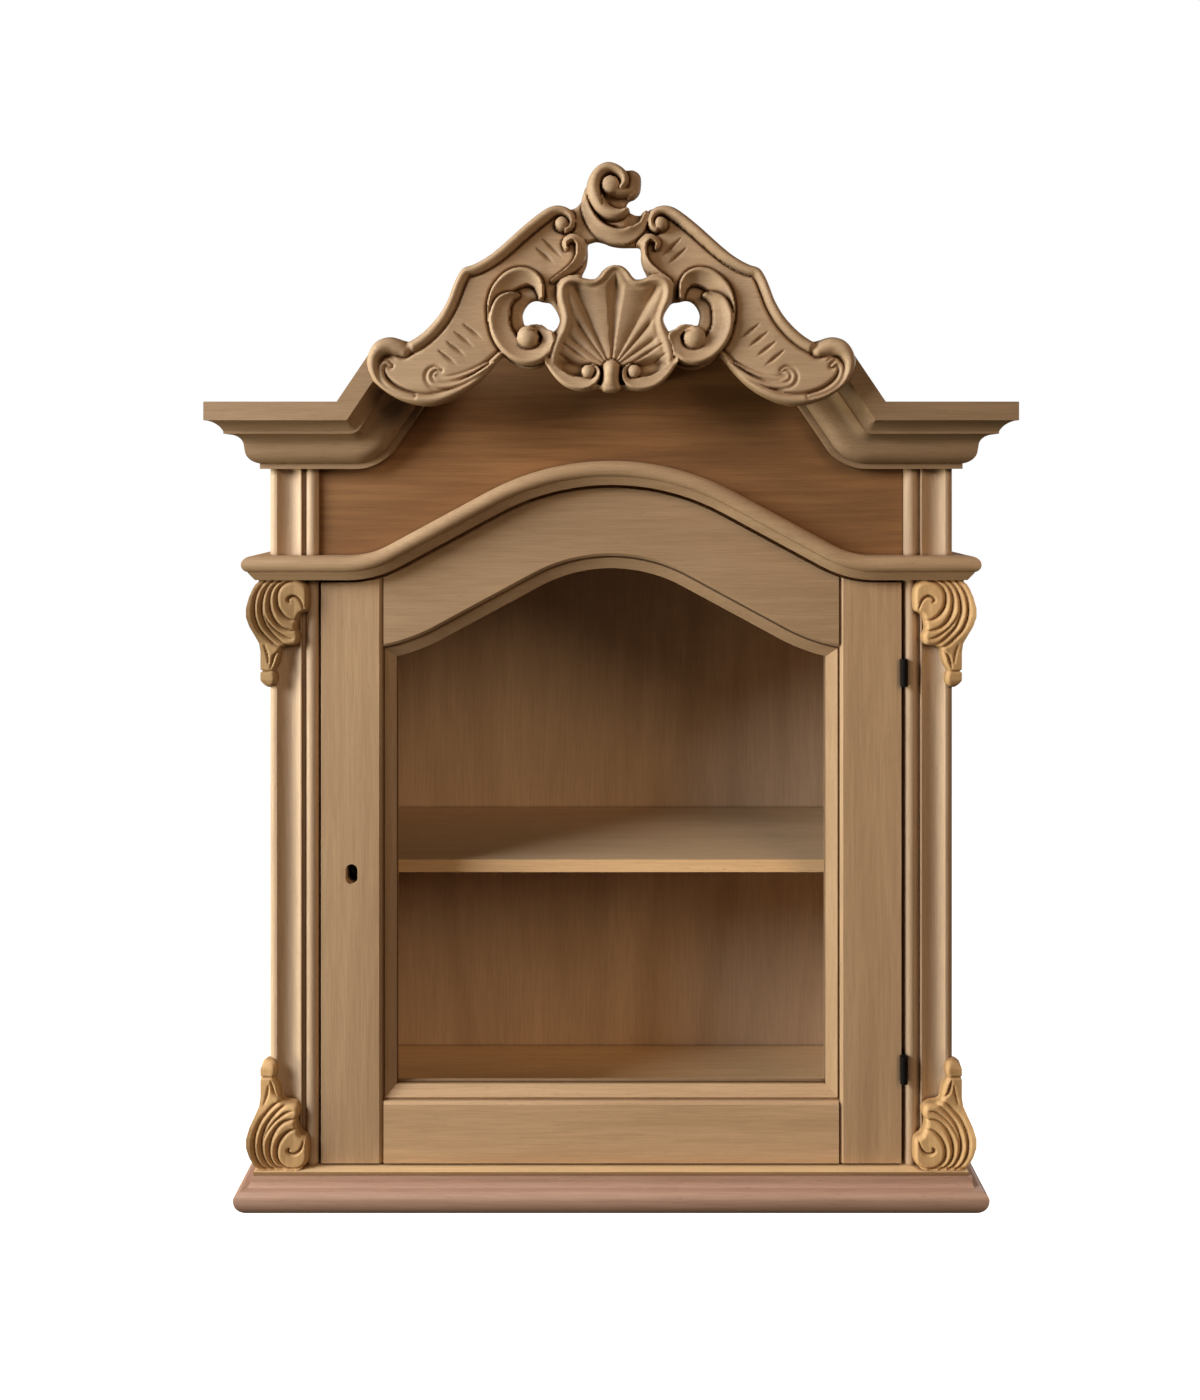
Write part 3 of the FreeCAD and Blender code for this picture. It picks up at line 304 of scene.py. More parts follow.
def raw_wood(name, woods, axis, look, hollow=None, edge=None):
    """Unfinished planed wood: growth rings, streaks, fine fibres and open pores along one axis."""
    (pale, grain), (rings, streaks, smooth) = woods, WOOD_LOOKS[look]
    material, tree, shader, coords = new_material(name)
    slow, streak, fibre, pore = [grained(tree, coords, axis, *pattern)
                                 for pattern in (DRIFT, STREAK, FIBRE, PORE)]
    leaning = stretched(tree, coords, axis, *RING_STRETCH)
    put(tree, leaning, {"Rotation": RING_LEAN[axis], "Location": RING_HEART[axis]})
    wave = add(tree, "TexWave", {"Vector": leaning.outputs["Vector"], **RING_LOOK})
    wave.wave_type = "RINGS"
    wave.rings_direction = axis
    tint = mixed(tree, spread(tree, streak, *STREAK_RANGE, 0.0, streaks), pale, grain)
    ringed = mixed(tree, spread(tree, wave.outputs["Fac"], *RING_RANGE), tint, grain)
    wooden = mixed(tree, rings, tint, ringed)
    for pattern, (low, high, amount, clear, dark) in zip((slow, fibre, pore), WOOD_LAYERS):
        layer = mixed(tree, spread(tree, pattern, low, high), clear, dark)
        wooden = mixed(tree, amount, wooden, layer, "MULTIPLY")
    # Painted shade: the wood is darkened towards the hollow colour where the carving lies below its
    # surroundings.
    if hollow is not None:
        cut = tree.nodes.new("ShaderNodeAttribute")
        cut.attribute_name = "hollow"
        wooden = mixed(tree, cut.outputs["Fac"], wooden, hollow)
    # Painted light and shade on a front edge, set by its place front to back.
    if edge is not None:
        front, tone = edge
        place = add(tree, "SeparateXYZ", {"Vector": coords}).outputs["Y"]
        painted_edge_tone = spread(tree, place, front, front + EDGE_BLEND, 1.0, 0.0)
        wooden = mixed(tree, painted_edge_tone, wooden, tone, "MULTIPLY")
    # Painted shade: an occlusion darkens the wood in joints, quirks and gaps, where little light
    # gets in.
    crevice = add(tree, "AmbientOcclusion", {"Distance": CREVICE_REACH})
    crevice.samples = CREVICE_SAMPLES
    shade = CREVICE_TONE if hollow is None else CARVED_CREVICE_TONE
    painted_crevice_shade = mixed(tree, spread(tree, crevice.outputs["AO"], *CREVICE_RANGE), shade, WHITE)
    put(tree, shader, {
        "Base Color": mixed(tree, 1.0, wooden, painted_crevice_shade, "MULTIPLY"),
        "Roughness": spread(tree, fibre, *ROUGH_RANGE, smooth - ROUGH_BELOW, smooth + ROUGH_ABOVE),
        "Normal": bumps(tree, sum_of(tree, fibre, streak, 0.7), *WOOD_BUMP),
        "Specular IOR Level": WOOD_GLOSS})
    return material


def dark_metal(name, base):
    """Worked metal with a mottled skin and fine scratches."""
    metal, low, high, gloss = METAL_LOOKS[name]
    material, tree, shader, coords = new_material(name)
    mottle = noise(tree, coords, *MOTTLE)
    scratch = grained(tree, coords, "Z", *SCRATCH)
    dark, pale = [c * MOTTLE_DARK for c in base], [min(c * MOTTLE_PALE, 1) for c in base]
    put(tree, shader, {
        "Base Color": mixed(tree, spread(tree, mottle, *MIDDLE_RANGE), dark, pale),
        "Roughness": spread(tree, mottle, *ROUGH_RANGE, low, high),
        "Normal": bumps(tree, sum_of(tree, mottle, scratch, 0.5), *METAL_BUMP),
        "Metallic": metal, "Specular IOR Level": gloss})
    return material


def clear_glass(name, tint, cover):
    """A thin clear pane that shines at a slant, with faint wipe marks."""
    material, tree, shader, coords = new_material(name)
    wipe = grained(tree, coords, "X", *WIPE)
    pale = [min(c * WIPE_PALE, 1) for c in tint]
    slant = add(tree, "LayerWeight", {"Blend": 0.5}).outputs["Facing"]
    steep = tree.nodes.new("ShaderNodeMath")
    steep.operation = "POWER"
    put(tree, steep, {0: slant, 1: SLANT_POWER})
    put(tree, shader, {
        "Base Color": mixed(tree, spread(tree, wipe, *MIDDLE_RANGE), tint, pale),
        "Roughness": spread(tree, wipe, *MIDDLE_RANGE, *GLASS_ROUGH),
        "Alpha": spread(tree, steep.outputs[0], 0.0, 1.0, cover, SLANT_COVER),
        "Normal": bumps(tree, wipe, *GLASS_BUMP)})
    return material


def give(material, names):
    for name in names:
        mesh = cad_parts[name].data
        mesh.materials.clear()
        mesh.materials.append(material)


# Relief carving: heights over a flat board, in millimetres.

# A band's section from its outer edge at -1 to its inner edge at 1, as shares of its height.
LIP_ACROSS = (-1, -0.93, -0.82, -0.68, -0.5, -0.2, 0.2, 0.6, 0.9, 1)
LIP_RISE = (0.0, 0.55, 0.9, 1.0, 0.93, 0.62, 0.34, 0.2, 0.12, 0.0)
LIP_CREST = -0.68
INNER_EDGE, INNER_RUN = 0.93, 0.07
ROLL_BLEND = 0.8
BAND_BLEND = 0.5
DISH_LIMITS = (-4, 3)
# The shell's flutes in degrees from upright, where they are full, and the heights of the shell.
SHELL_LOBES = np.array([-6.5, 6.5, 26.5, 38.5, 54.0, 76.0])
LOBE_POWER = 2.4
SHELL_REACH = 85.0
SHELL_LOW, SHELL_RISE = 14.5, 4.2
FLUTE_LOW, FLUTE_RISE = 1.4, 4.8
FLUTE_START, FLUTE_RUN = 5.0, 9.0
SHELL_SAG, SAG_RUN = 3.4, 24.0
SHELL_SOFT = 1.2


def smooth_path(points, closed=False, steps=8):
    """Points along a smooth curve through the given ones; extra columns are carried along."""
    given = np.array(points, float)
    if closed:
        ends = np.vstack([given[-1:], given, given[:2]])
    else:
        ends = np.vstack([2 * given[0] - given[1], given, 2 * given[-1] - given[-2]])
    t = np.linspace(0, 1, steps, endpoint=False)[:, None]
    runs = [0.5 * (2 * b + (c - a) * t + (2 * a - 5 * b + 4 * c - d) * t ** 2
                   + (3 * b - a - 3 * c + d) * t ** 3)
            for a, b, c, d in zip(ends, ends[1:], ends[2:], ends[3:])]
    return np.vstack(runs if closed else runs + [given[-1:]])


def eased(share):
    share = np.clip(share, 0, 1)
    return share * share * (3 - 2 * share)


def edge_distance(x, z, outline):
    """Distance to a closed outline, positive inside, and the nearest point on it."""
    best = np.full(x.shape, 1e9)
    near_x, near_z = np.zeros(x.shape), np.zeros(x.shape)
    inside = np.zeros(x.shape, bool)
    for a, b in zip(outline, np.roll(outline, -1, 0)):
        dx, dz = b - a
        t = np.clip(((x - a[0]) * dx + (z - a[1]) * dz) / (dx * dx + dz * dz + 1e-12), 0, 1)
        at_x, at_z = a[0] + t * dx, a[1] + t * dz
        d = np.hypot(x - at_x, z - at_z)
        nearer = d < best
        best[nearer], near_x[nearer], near_z[nearer] = d[nearer], at_x[nearer], at_z[nearer]
        if dz:
            inside ^= ((a[1] > z) != (b[1] > z)) & (x < a[0] + (z - a[1]) * dx / dz)
    return np.where(inside, best, -best), near_x, near_z


def trench(d, r, moat, wide):
    """Depth of the soft trench beside a raised stroke."""
    return moat * np.exp(-(np.maximum(d - r, 0) / wide) ** 2)


class Carving:
    """Heights over points of a board, raised and cut stroke by stroke."""

    def __init__(self, x, z, ground):
        self.x, self.z = x, z
        self.height = np.full(x.shape, float(ground))

    def along(self, points, reach):
        """The points near a stroke: their distance, side, and the stroke's own columns there."""
        path = smooth_path(points)
        low, high = path[:, :2].min(0) - reach, path[:, :2].max(0) + reach
        pick = np.flatnonzero((self.x > low[0]) & (self.x < high[0])
                              & (self.z > low[1]) & (self.z < high[1]))
        best, side = np.full(pick.shape, 1e9), np.ones(pick.shape)
        rows = np.zeros((len(pick), path.shape[1] - 2))
        for a, b in zip(path, path[1:]):
            dx, dz = b[0] - a[0], b[1] - a[1]
            off_x, off_z = self.x[pick] - a[0], self.z[pick] - a[1]
            t = np.clip((off_x * dx + off_z * dz) / (dx * dx + dz * dz + 1e-12), 0, 1)
            d = np.hypot(off_x - t * dx, off_z - t * dz)
            near = d < best
            best[near] = d[near]
            side[near] = np.where(dx * off_z[near] - dz * off_x[near] > 0, 1, -1)
            rows[near] = a[2:] + t[near, None] * (b[2:] - a[2:])
        return pick, best, side, rows[:, 0], rows[:, 1]

    def beside(self, points, moat, wide):
        """As along, for a raised stroke, with a trench sunk beside it."""
        found = self.along(points, max(p[2] for p in points) * 1.5 + 3 * wide)
        pick, d, side, r, top = found
        self.height[pick] -= trench(d, r, moat, wide)
        return found

    def lift(self, pick, body, here, blend):
        old = self.height[pick]
        gap = np.maximum(blend - np.abs(old - body), 0)
        self.height[pick] = np.where(here, np.maximum(old, body) + gap ** 2 / (4 * blend), old)

    def roll(self, points, foot, moat=0.0, wide=1.5, power=0.5):
        """A round bead: rows of x, z, half width, top."""
        pick, d, side, r, top = self.beside(points, moat, wide)
        q = np.clip(d / r, 0, 1)
        self.lift(pick, foot + (top - foot) * (1 - q ** 2) ** power, d < r, ROLL_BLEND)

    def band(self, points, inner, fall, foot, moat=0.0, wide=1.5):
        """A hollow band with an outer lip; inner is 1 where its inside is on the left."""
        pick, d, side, r, top = self.beside(points, moat, wide)
        q = np.clip(side * inner * d / r, -1, 1)
        lip = np.interp(q, LIP_ACROSS, LIP_RISE)
        low = np.maximum(top - fall, foot)
        body = np.where(q < LIP_CREST, foot + (top - foot) * lip, low + (top - low) * lip)
        body = np.where(q > INNER_EDGE, foot + (body - foot) * (1 - q) / INNER_RUN, body)
        self.lift(pick, body, d < r, BAND_BLEND)

    def cut(self, points, power=1.3):
        """A gouge: rows of x, z, half width, depth."""
        pick, d, side, r, deep = self.along(points, max(p[2] for p in points) + 1)
        q = np.clip(d / np.maximum(r, 1e-6), 0, 1)
        self.height[pick] -= deep * (1 - q) ** power

    def nicks(self, sizes, *gouges):
        """Short gouges alike: half widths and depths, then each one's points."""
        for points in gouges:
            self.cut([(*point, *size) for point, size in zip(points, sizes)])

    def ball(self, x, z, r, top, squash=1.0, moat=0.0, wide=1.5):
        """A round boss."""
        d = np.hypot(self.x - x, self.z - z)
        self.height -= trench(d, r, moat, wide)
        q = np.clip(d / r, 0, 1)
        body = top - squash * r * (1 - np.sqrt(1 - q ** 2))
        self.height = np.where(d < r, np.maximum(self.height, body), self.height)

    def level(self, outline, height, soft, rise=0.0, turn=0.0):
        """Part of the board brought to one height, dished by a rise per 100 mm out from a turn."""
        inside = edge_distance(self.x, self.z, np.array(outline, float))[0]
        t = eased(inside / soft + 0.5)
        height = height + np.clip((-self.x - turn) * rise / 100, *DISH_LIMITS)
        self.height = self.height * (1 - t) + height * t

    def shell(self, outline, root):
        """Fluted shell: a hollow middle flute and rounded lobes on each side, from a root."""
        inside = edge_distance(self.x, self.z, np.array(outline, float))[0]
        far = np.hypot(self.x, self.z - root)
        turn = np.degrees(np.arctan2(np.abs(self.x), self.z - root))
        k = np.clip(np.searchsorted(SHELL_LOBES, turn) - 1, 0, len(SHELL_LOBES) - 2)
        u = (turn - SHELL_LOBES[k]) / (SHELL_LOBES[k + 1] - SHELL_LOBES[k]) * 2 - 1
        lobe = 1 - np.where(k == 1, (u + 1) / 2, np.abs(u)) ** LOBE_POWER
        crown = np.where(k == 0, u ** 2, lobe)
        grow = np.clip(far / SHELL_REACH, 0, 1)
        flute = (1 - crown) * (FLUTE_LOW + FLUTE_RISE * grow)
        body = SHELL_LOW + SHELL_RISE * grow - flute * eased((inside - FLUTE_START) / FLUTE_RUN)
        body -= SHELL_SAG * eased(inside / SAG_RUN)
        t = eased(inside / SHELL_SOFT + 0.5)
        self.height = self.height * (1 - t) + body * t


def mirrored(points):
    return [(-p[0], *p[1:]) for p in points]


def topped(top, rows):
    """A stroke's rows, all with the same top."""
    return [(*row, top) for row in rows]


# Outlines and strokes of the crest, in millimetres from its middle and the cornice's underside.

CREST_FOOT = 0.005
SHELL_ROOT = 87.0
SHELL_LEAN = 0.05
CREST_WING = [
    (-6.1, 67.7), (-8.7, 70.1), (-12.6, 70.1), (-17, 69.2), (-24.9, 68.3), (-33.6, 69.6),
    (-41.4, 73.1), (-48.4, 79.2), (-53.6, 85.8), (-57.1, 90.6), (-62.3, 88.8), (-70.2, 87.2),
    (-78.9, 88.6), (-87.6, 93.2), (-93.7, 98), (-98.1, 96.2), (-105.9, 86.6), (-116.4, 75.7),
    (-127.7, 67), (-139.1, 60.9), (-149.5, 57), (-160, 55.2), (-171.3, 56.1), (-182.7, 59.3),
    (-193.1, 64.4), (-203.6, 71.8), (-210.6, 80.1), (-214.1, 89.7), (-213.6, 98.4), (-209.7, 106.7),
    (-202.7, 113.2), (-194, 115.4), (-185.3, 113.8), (-178.3, 111.5), (-174, 112.8), (-167, 117.6),
    (-158.3, 125.4), (-149.5, 135.5), (-142.6, 147.2), (-138.6, 157.7), (-134.7, 166.9),
    (-129.5, 175.1), (-121.6, 178), (-114.7, 181.2), (-105.9, 186.5), (-97.2, 193.6),
    (-88.5, 201.3), (-79.8, 209.2), (-71.1, 216.7), (-62.3, 223.7), (-54.5, 228.9), (-47.5, 231),
    (-40.5, 230.1), (-34.9, 228.1)]
CREST_CURL = [
    (-30.1, 230.1), (-26.6, 234.4), (-24, 241.9), (-20.5, 251.9), (-16.6, 259.3), (-10.9, 265.6),
    (-3.9, 268.4), (2.2, 267.3), (8.3, 264.5), (13.5, 262.3), (19.6, 262.1), (24.9, 258.4),
    (26.4, 251.9), (25.3, 243.2), (20.9, 237.7), (15.7, 235.3), (13.5, 231), (15.3, 226.6),
    (20.1, 223.1), (24.9, 222.6), (29.2, 224.8)]
CREST_OUTLINE = [(0, 67.2)] + CREST_WING + CREST_CURL + mirrored(CREST_WING[::-1])
CREST_MIDDLE_HOLE = [
    (-20.5, 196.9), (-17, 199.1), (-12.6, 200), (-6.5, 198.7), (0.4, 196.1), (9.2, 194.8),
    (17.9, 194.8), (24.9, 194.3), (26.2, 190), (26.2, 183.9), (27.9, 176.9), (31.4, 168.6),
    (25.7, 165.3), (20.1, 166.4), (16.1, 171.7), (10.9, 176.5), (4.8, 178.6), (-1.3, 178.4),
    (-7, 174.7), (-12.6, 168.2), (-18.7, 166), (-25.3, 166.9), (-25.3, 170.8), (-21.8, 178.6),
    (-20.5, 187.4)]
CREST_SIDE_HOLE = [
    (-77.6, 130.7), (-78, 135.9), (-75.4, 142), (-71.1, 146.5), (-65.8, 148.1), (-59.7, 146.8),
    (-53.6, 145.7), (-49.7, 141.1), (-46.7, 135.5), (-45.5, 130.2), (-47.5, 124.6), (-51, 121.1),
    (-54.5, 121.1), (-58, 123.7), (-62.3, 126.3), (-68.5, 127.5), (-73.7, 126.3), (-76.3, 126.7)]


def carve_wing(carving):
    """A wing's ground, its nicks, its rim with the curled end, and the leaf inside it."""
    carving.level([
        (-34.4, 230.1), (-47.5, 232.7), (-79.8, 210.9), (-121.6, 179.5), (-131.2, 176),
        (-144.3, 145.5), (-175.7, 112.4), (-206.2, 114.1), (-215.8, 94.9), (-208.8, 75.7),
        (-184.4, 58.3), (-160, 53.1), (-125.1, 66.1), (-95.5, 98.4), (-44.9, 121.1), (-22.2, 173.4),
        (-27.5, 203.9), (-31, 221.4)], 13.5, 2, 8, 105)
    carving.nicks(
        ((1, 1.9), (2.6, 3.2), (0.5, 0.6)),
        ((-60.6, 201.7), (-51.4, 192.9), (-43.2, 185.2)),
        ((-65.4, 193), (-57, 185.7), (-49.7, 179.5)))
    carving.nicks(
        ((1, 1.7), (2.4, 2.8), (0.5, 0.6)),
        ((-128.6, 125.9), (-119.8, 118.8), (-112.1, 112.8)),
        ((-136, 118.9), (-127.4, 112.1), (-119.9, 106.3)),
        ((-143, 110.6), (-134.4, 103.8), (-126.9, 98)),
        ((-150, 102.8), (-141.6, 95.9), (-134.3, 90.1)))
    carving.roll([
        (-180.9, 103.6, 5.4, 19.5), (-174, 106.7, 5.8, 19.5), (-164.4, 112.8, 5.9, 19.5),
        (-155.2, 121.1, 5.9, 19.5), (-146.9, 131.5, 5.9, 19.5), (-140.4, 143.8, 5.9, 19.5),
        (-136, 155.1, 5.8, 19.5), (-132.1, 164.7, 5.6, 19.5), (-127.3, 171.7, 5.2, 19.5),
        (-119.9, 174.3, 5.4, 19.5), (-112.5, 177.8, 5.6, 19.5), (-102.5, 184.3, 5.8, 19.5),
        (-93.7, 191.3, 5.8, 19.5), (-85, 199.1, 5.8, 19.5), (-76.3, 207, 5.8, 19.3),
        (-67.6, 214.4, 5.8, 18.9), (-59.7, 220.5, 5.6, 18.6), (-52.8, 224.8, 5.2, 18.3),
        (-46.7, 226.3, 4.7, 18), (-40.5, 225.3, 4.2, 17.7), (-36.2, 221.8, 3.7, 17.5),
        (-34.3, 216.6, 3.1, 17.4), (-35.8, 211.3, 2.6, 17.5),
        (-39.2, 208.7, 2.1, 17.6)], 9.5, moat=3.4, wide=1.5)
    carving.ball(-42.9, 214.4, 5.8, 19.6, 0.8)
    carving.cut([
        (-46.7, 221.8, 1, 2), (-40.5, 220.5, 1.4, 3.6), (-37.9, 216.1, 1.4, 4.4),
        (-38.8, 211.8, 0.9, 2)])
    carving.cut([
        (-50.1, 217.9, 1, 1.5), (-49.7, 210.9, 1.4, 3), (-44.9, 207, 1.6, 3.4),
        (-37.9, 206.1, 1.7, 3.4), (-32.7, 209.2, 1.4, 2)])
    carving.band(topped(18.5, [
        (-39.7, 192.6, 1.7), (-40.7, 197.4, 2.4), (-37.5, 201.3, 3), (-32.3, 202.4, 3.7),
        (-27.5, 198.3, 4.4), (-26.1, 191.3, 4.7), (-27.6, 183.9, 4.5), (-32, 177.3, 4),
        (-38.8, 171.7, 3.3), (-45.8, 167.3, 2.6),
        (-51, 164.2, 1.9)]), 1, 5.5, 9.5, moat=1.6, wide=1.4)


def carve_tip(carving):
    """The rolled tip of a wing, with its small scrolls."""
    carving.roll([
        (-89.4, 107.1, 2.8, 14.5), (-99.8, 96.2, 3.7, 15.4), (-111.2, 84.9, 4.4, 16.2),
        (-124.3, 74, 4.7, 17.1), (-138.2, 66.1, 4.9, 18), (-152.2, 61.3, 4.9, 18.1),
        (-167, 60.7, 4.9, 18.2), (-180.9, 64, 4.9, 18.3), (-192.3, 69.8, 5.1, 18.4),
        (-201.4, 77.9, 5.4, 18.5), (-207.1, 87.5, 5.9, 19.7), (-207.1, 97.1, 6.6, 20.8),
        (-201.9, 104.7, 8, 22), (-193.6, 107.3, 8.5, 21), (-186.2, 105.6, 7.8, 20),
        (-180.9, 102.8, 6.1, 19)], 9, moat=3, wide=1.6)
    carving.roll(topped(16.8, [
        (-192.3, 89.7, 1.9), (-196.6, 92.5, 2.8), (-200.3, 89.5, 3.1), (-200.5, 83.1, 3),
        (-197.1, 76.2, 2.8), (-190.5, 70.5, 2.6), (-181.8, 66.1, 2.3),
        (-172.2, 63.5, 1.7)]), 9.5, moat=2.2, wide=1.3)
    carving.cut([
        (-203.6, 92.7, 1.4, 3), (-199.3, 97.3, 2.1, 4), (-192.3, 97.1, 1.7, 2.5),
        (-187.9, 94, 1, 1)])
    carving.roll(topped(16.6, [
        (-148.7, 85.8, 1.2), (-153, 87.4, 1.9), (-157.8, 84.6, 2.6), (-159.1, 79.2, 3),
        (-155.7, 74, 3), (-147.8, 72.1, 2.8), (-136.5, 73.3, 2.6), (-124.3, 78.2, 2.4),
        (-112.9, 84.9, 2.1), (-102.5, 92.3, 1.4)]), 10.5, moat=1.6, wide=1.3)
    carving.roll([
        (-151.3, 81, 1.4, 15), (-143.4, 78.8, 2.1, 15.6), (-133, 80.5, 2.3, 15.8),
        (-121.6, 84.9, 1.9, 15.6), (-108.6, 92.3, 1.2, 14.8)], 10.5, moat=1.2, wide=1)


def carve_scroll(carving):
    """The open scroll between a wing and the shell."""
    carving.level([
        (-97.2, 147.2), (-86.8, 162.1), (-71.1, 167.3), (-59.7, 160.3), (-55.4, 147.2),
        (-43.2, 131.5), (-48.4, 117.6), (-64.1, 121.1), (-79.8, 108), (-92, 121.1)], 6, 2.5)
    carving.band(topped(20, [
        (-104.6, 129.8, 3.5), (-103.3, 142, 5.2), (-99, 152.9, 7.2), (-92.4, 161, 8.4),
        (-84.6, 166.6, 8.7), (-76.3, 168.5, 8), (-69.3, 166.9, 6.6), (-64.4, 162.1, 4.9),
        (-62.2, 156, 3.3), (-61.5, 149.9, 2.1)]), -1, 8, 8, moat=2.4, wide=1.4)
    carving.band(topped(20.8, [
        (-82.4, 152, 2.1), (-88.1, 150.3, 4.4), (-94.2, 145.5, 7), (-97.2, 138.1, 8.4),
        (-98.3, 129.8, 8.9), (-96.4, 120.2, 9.2), (-91.1, 111.1, 9.6), (-82.8, 103.6, 9.8),
        (-72.8, 100.2, 9.9), (-62.3, 102.1, 9.1), (-55.8, 108.4, 7.7), (-54.9, 115.7, 6.1),
        (-58.9, 121.1, 4.5), (-64.5, 123.3, 3.3),
        (-70.2, 123.3, 2.4)]), 1, 6, 8, moat=2.4, wide=1.4)
    carving.ball(-72.6, 115.2, 9.6, 23.5, 0.8)
    carving.cut([
        (-71.9, 120.6, 0.9, 1.5), (-66.7, 119.8, 1.7, 4), (-62.3, 115.4, 2.1, 5.5),
        (-62.8, 109.3, 1.9, 5), (-68, 104.9, 1.7, 3.6), (-75.4, 104.5, 1.4, 2.6),
        (-81.5, 107.6, 1, 1.5)])


def carve_shell(carving):
    """The shell, its rim, the curls at its foot and the knot between them."""
    carving.shell([
        (-51, 161.2), (-47.5, 165.6), (-40.5, 169), (-31.8, 169.5), (-23.1, 166), (-16.1, 165.6),
        (-10, 169), (-4.8, 175.1), (0.4, 178.6), (24.9, 183.9), (24.9, 68.8), (0, 67),
        (-23.1, 68.8), (-43.2, 74.9), (-56.2, 89.7), (-51.9, 108), (-44, 121.1), (-42.3, 131.5),
        (-45.8, 140.3), (-50.1, 149)], 87.1)
    carving.roll([
        (2.2, 175.5, 3.1, 20.4), (-3.1, 175.1, 3.2, 20.4), (-7.8, 171.8, 3.4, 20.4),
        (-12.2, 165.9, 3.6, 20.4), (-17.4, 162.4, 3.7, 20.4), (-23.1, 162.1, 3.9, 20.6),
        (-30.1, 164.2, 4.2, 20.8), (-37.5, 164.5, 4.5, 21), (-43.3, 161.9, 4.7, 21.2),
        (-46.1, 156, 4.9, 20.9), (-45.4, 147.7, 4.9, 20.6), (-42.6, 139, 4.9, 20.3),
        (-40.9, 130.2, 4.9, 20), (-42.6, 121.5, 5.1, 19.6), (-46, 114.1, 5.2, 19.3),
        (-48.7, 106.3, 5.2, 19), (-50.7, 98.4, 4.9, 18.7),
        (-51.5, 91.4, 4, 18.4)], 9, moat=0.8, wide=1.6)
    carving.nicks(
        ((1.2, 1.5), (2.4, 3.4), (1, 1.2)),
        ((-44, 109.7), (-30.5, 101), (-17, 92.3)),
        ((-47.1, 101), (-35.5, 92.3), (-24, 83.6)))
    carving.band(topped(19.8, [
        (-56.2, 94.9, 2.6), (-51.9, 88.4, 4.4), (-45.3, 81.1, 5.8), (-36.6, 75.7, 6.5),
        (-26.6, 74, 6.5), (-18.3, 75.7, 5.4), (-13.3, 80.1, 4), (-12.5, 85.8, 3),
        (-16, 89.5, 2.3)]), 1, 3.2, 8.5, moat=0.9, wide=1.4)
    carving.ball(-20, 85.1, 5.8, 21, 0.8, moat=2, wide=1.2)
    carving.cut([(-17.9, 77.9, 0.9, 2), (-15.1, 81, 1.6, 5), (-14.4, 84.9, 1, 3)])
    carving.roll([
        (0, 87.9, 7.5, 23.6), (0, 83.6, 7.5, 23.2), (0, 78.4, 7.3, 21.8), (0, 74, 8.4, 20.6),
        (0, 70.9, 10.5, 19)], 9, moat=1.8, wide=1.2, power=0.4)


def carve_top(carving):
    """The curl on top, and the band that it grows from."""
    carving.level([
        (-31.8, 231), (-24, 241.4), (-17, 260.6), (-3.9, 271.1), (16.1, 265.8), (29.2, 260.6),
        (29.2, 241.4), (16.1, 235.3), (12.6, 229.2), (19.6, 220.5), (31, 226.6), (31, 207.4),
        (20.5, 196.9), (7.4, 192.6), (-18.7, 196.9), (-31, 206.5)], 9.5, 2)
    carving.level([
        (14.4, 258.9), (22.2, 259.3), (25.7, 254.5), (25.7, 245.8), (21.4, 238.8), (15.3, 236.2),
        (9.2, 237.9), (10.9, 251.9)], 12.5, 3)
    carving.band(topped(17.8, [
        (-21.8, 243.2, 3.3), (-21.8, 234.4, 4.5), (-19.2, 224, 5.8), (-14, 214.4, 6.6),
        (-6.1, 207, 7.3), (3.1, 203, 7.7), (12.6, 203.5, 7.3), (21.4, 208.3, 6.3), (27, 215.7, 4.9),
        (30.1, 223.1, 3.3)]), -1, 4.5, 8, moat=1.6, wide=1.5)
    carving.cut([
        (-19.6, 249.3, 0.9, 2), (-19.8, 239.7, 1.6, 4.4), (-16.8, 228.3, 1.9, 5.4),
        (-10.9, 218.9, 2.1, 5.4), (-3.1, 213.5, 1.9, 4.4), (5.7, 211.8, 1.6, 3)])
    carving.level([
        (-4.8, 237.9), (3.9, 240.5), (14.4, 237.9), (13.5, 229.2), (7.4, 226.6),
        (-1.3, 227.5)], 5.5, 3)
    carving.level([
        (15.3, 224), (22.2, 220.5), (28.3, 223.1), (24.9, 216.1), (18.7, 211.8),
        (12.6, 213.5)], 6.5, 3)
    carving.roll(topped(21.3, [
        (14.8, 226.6, 1.9), (8.3, 223.1, 4), (0.4, 223.1, 5.8), (-7.4, 227.5, 6.6),
        (-12.6, 235.3, 6.8), (-15, 244.9, 6.6), (-13.7, 254.1, 6.3), (-8.7, 260.6, 5.9),
        (-1.3, 263.2, 5.6), (6.1, 260.8, 4.9), (10.7, 255.4, 4.2), (11.3, 249.7, 3.5),
        (8.7, 245.3, 2.6)]), 8.5, moat=2.4, wide=1.5, power=0.42)
    carving.cut([
        (-7.4, 230.1, 1.4, 2.5), (-9.2, 237.9, 1.7, 4.5), (-9.3, 246.6, 1.7, 4.5),
        (-7, 254.1, 1.7, 4.5), (-1.3, 257.5, 1.7, 4.5), (4.4, 254.9, 1.7, 5),
        (6.5, 250.6, 1.4, 4.5), (4.4, 247.1, 0.9, 2)])
    carving.ball(-0.6, 247.7, 7.8, 21.6, 0.6)
    carving.roll([
        (-0.4, 245.8, 6.1, 20.6), (5.7, 242.7, 4.9, 18.6), (11.8, 241.9, 4, 16.5),
        (17, 243.2, 3.5, 14.5)], 8)


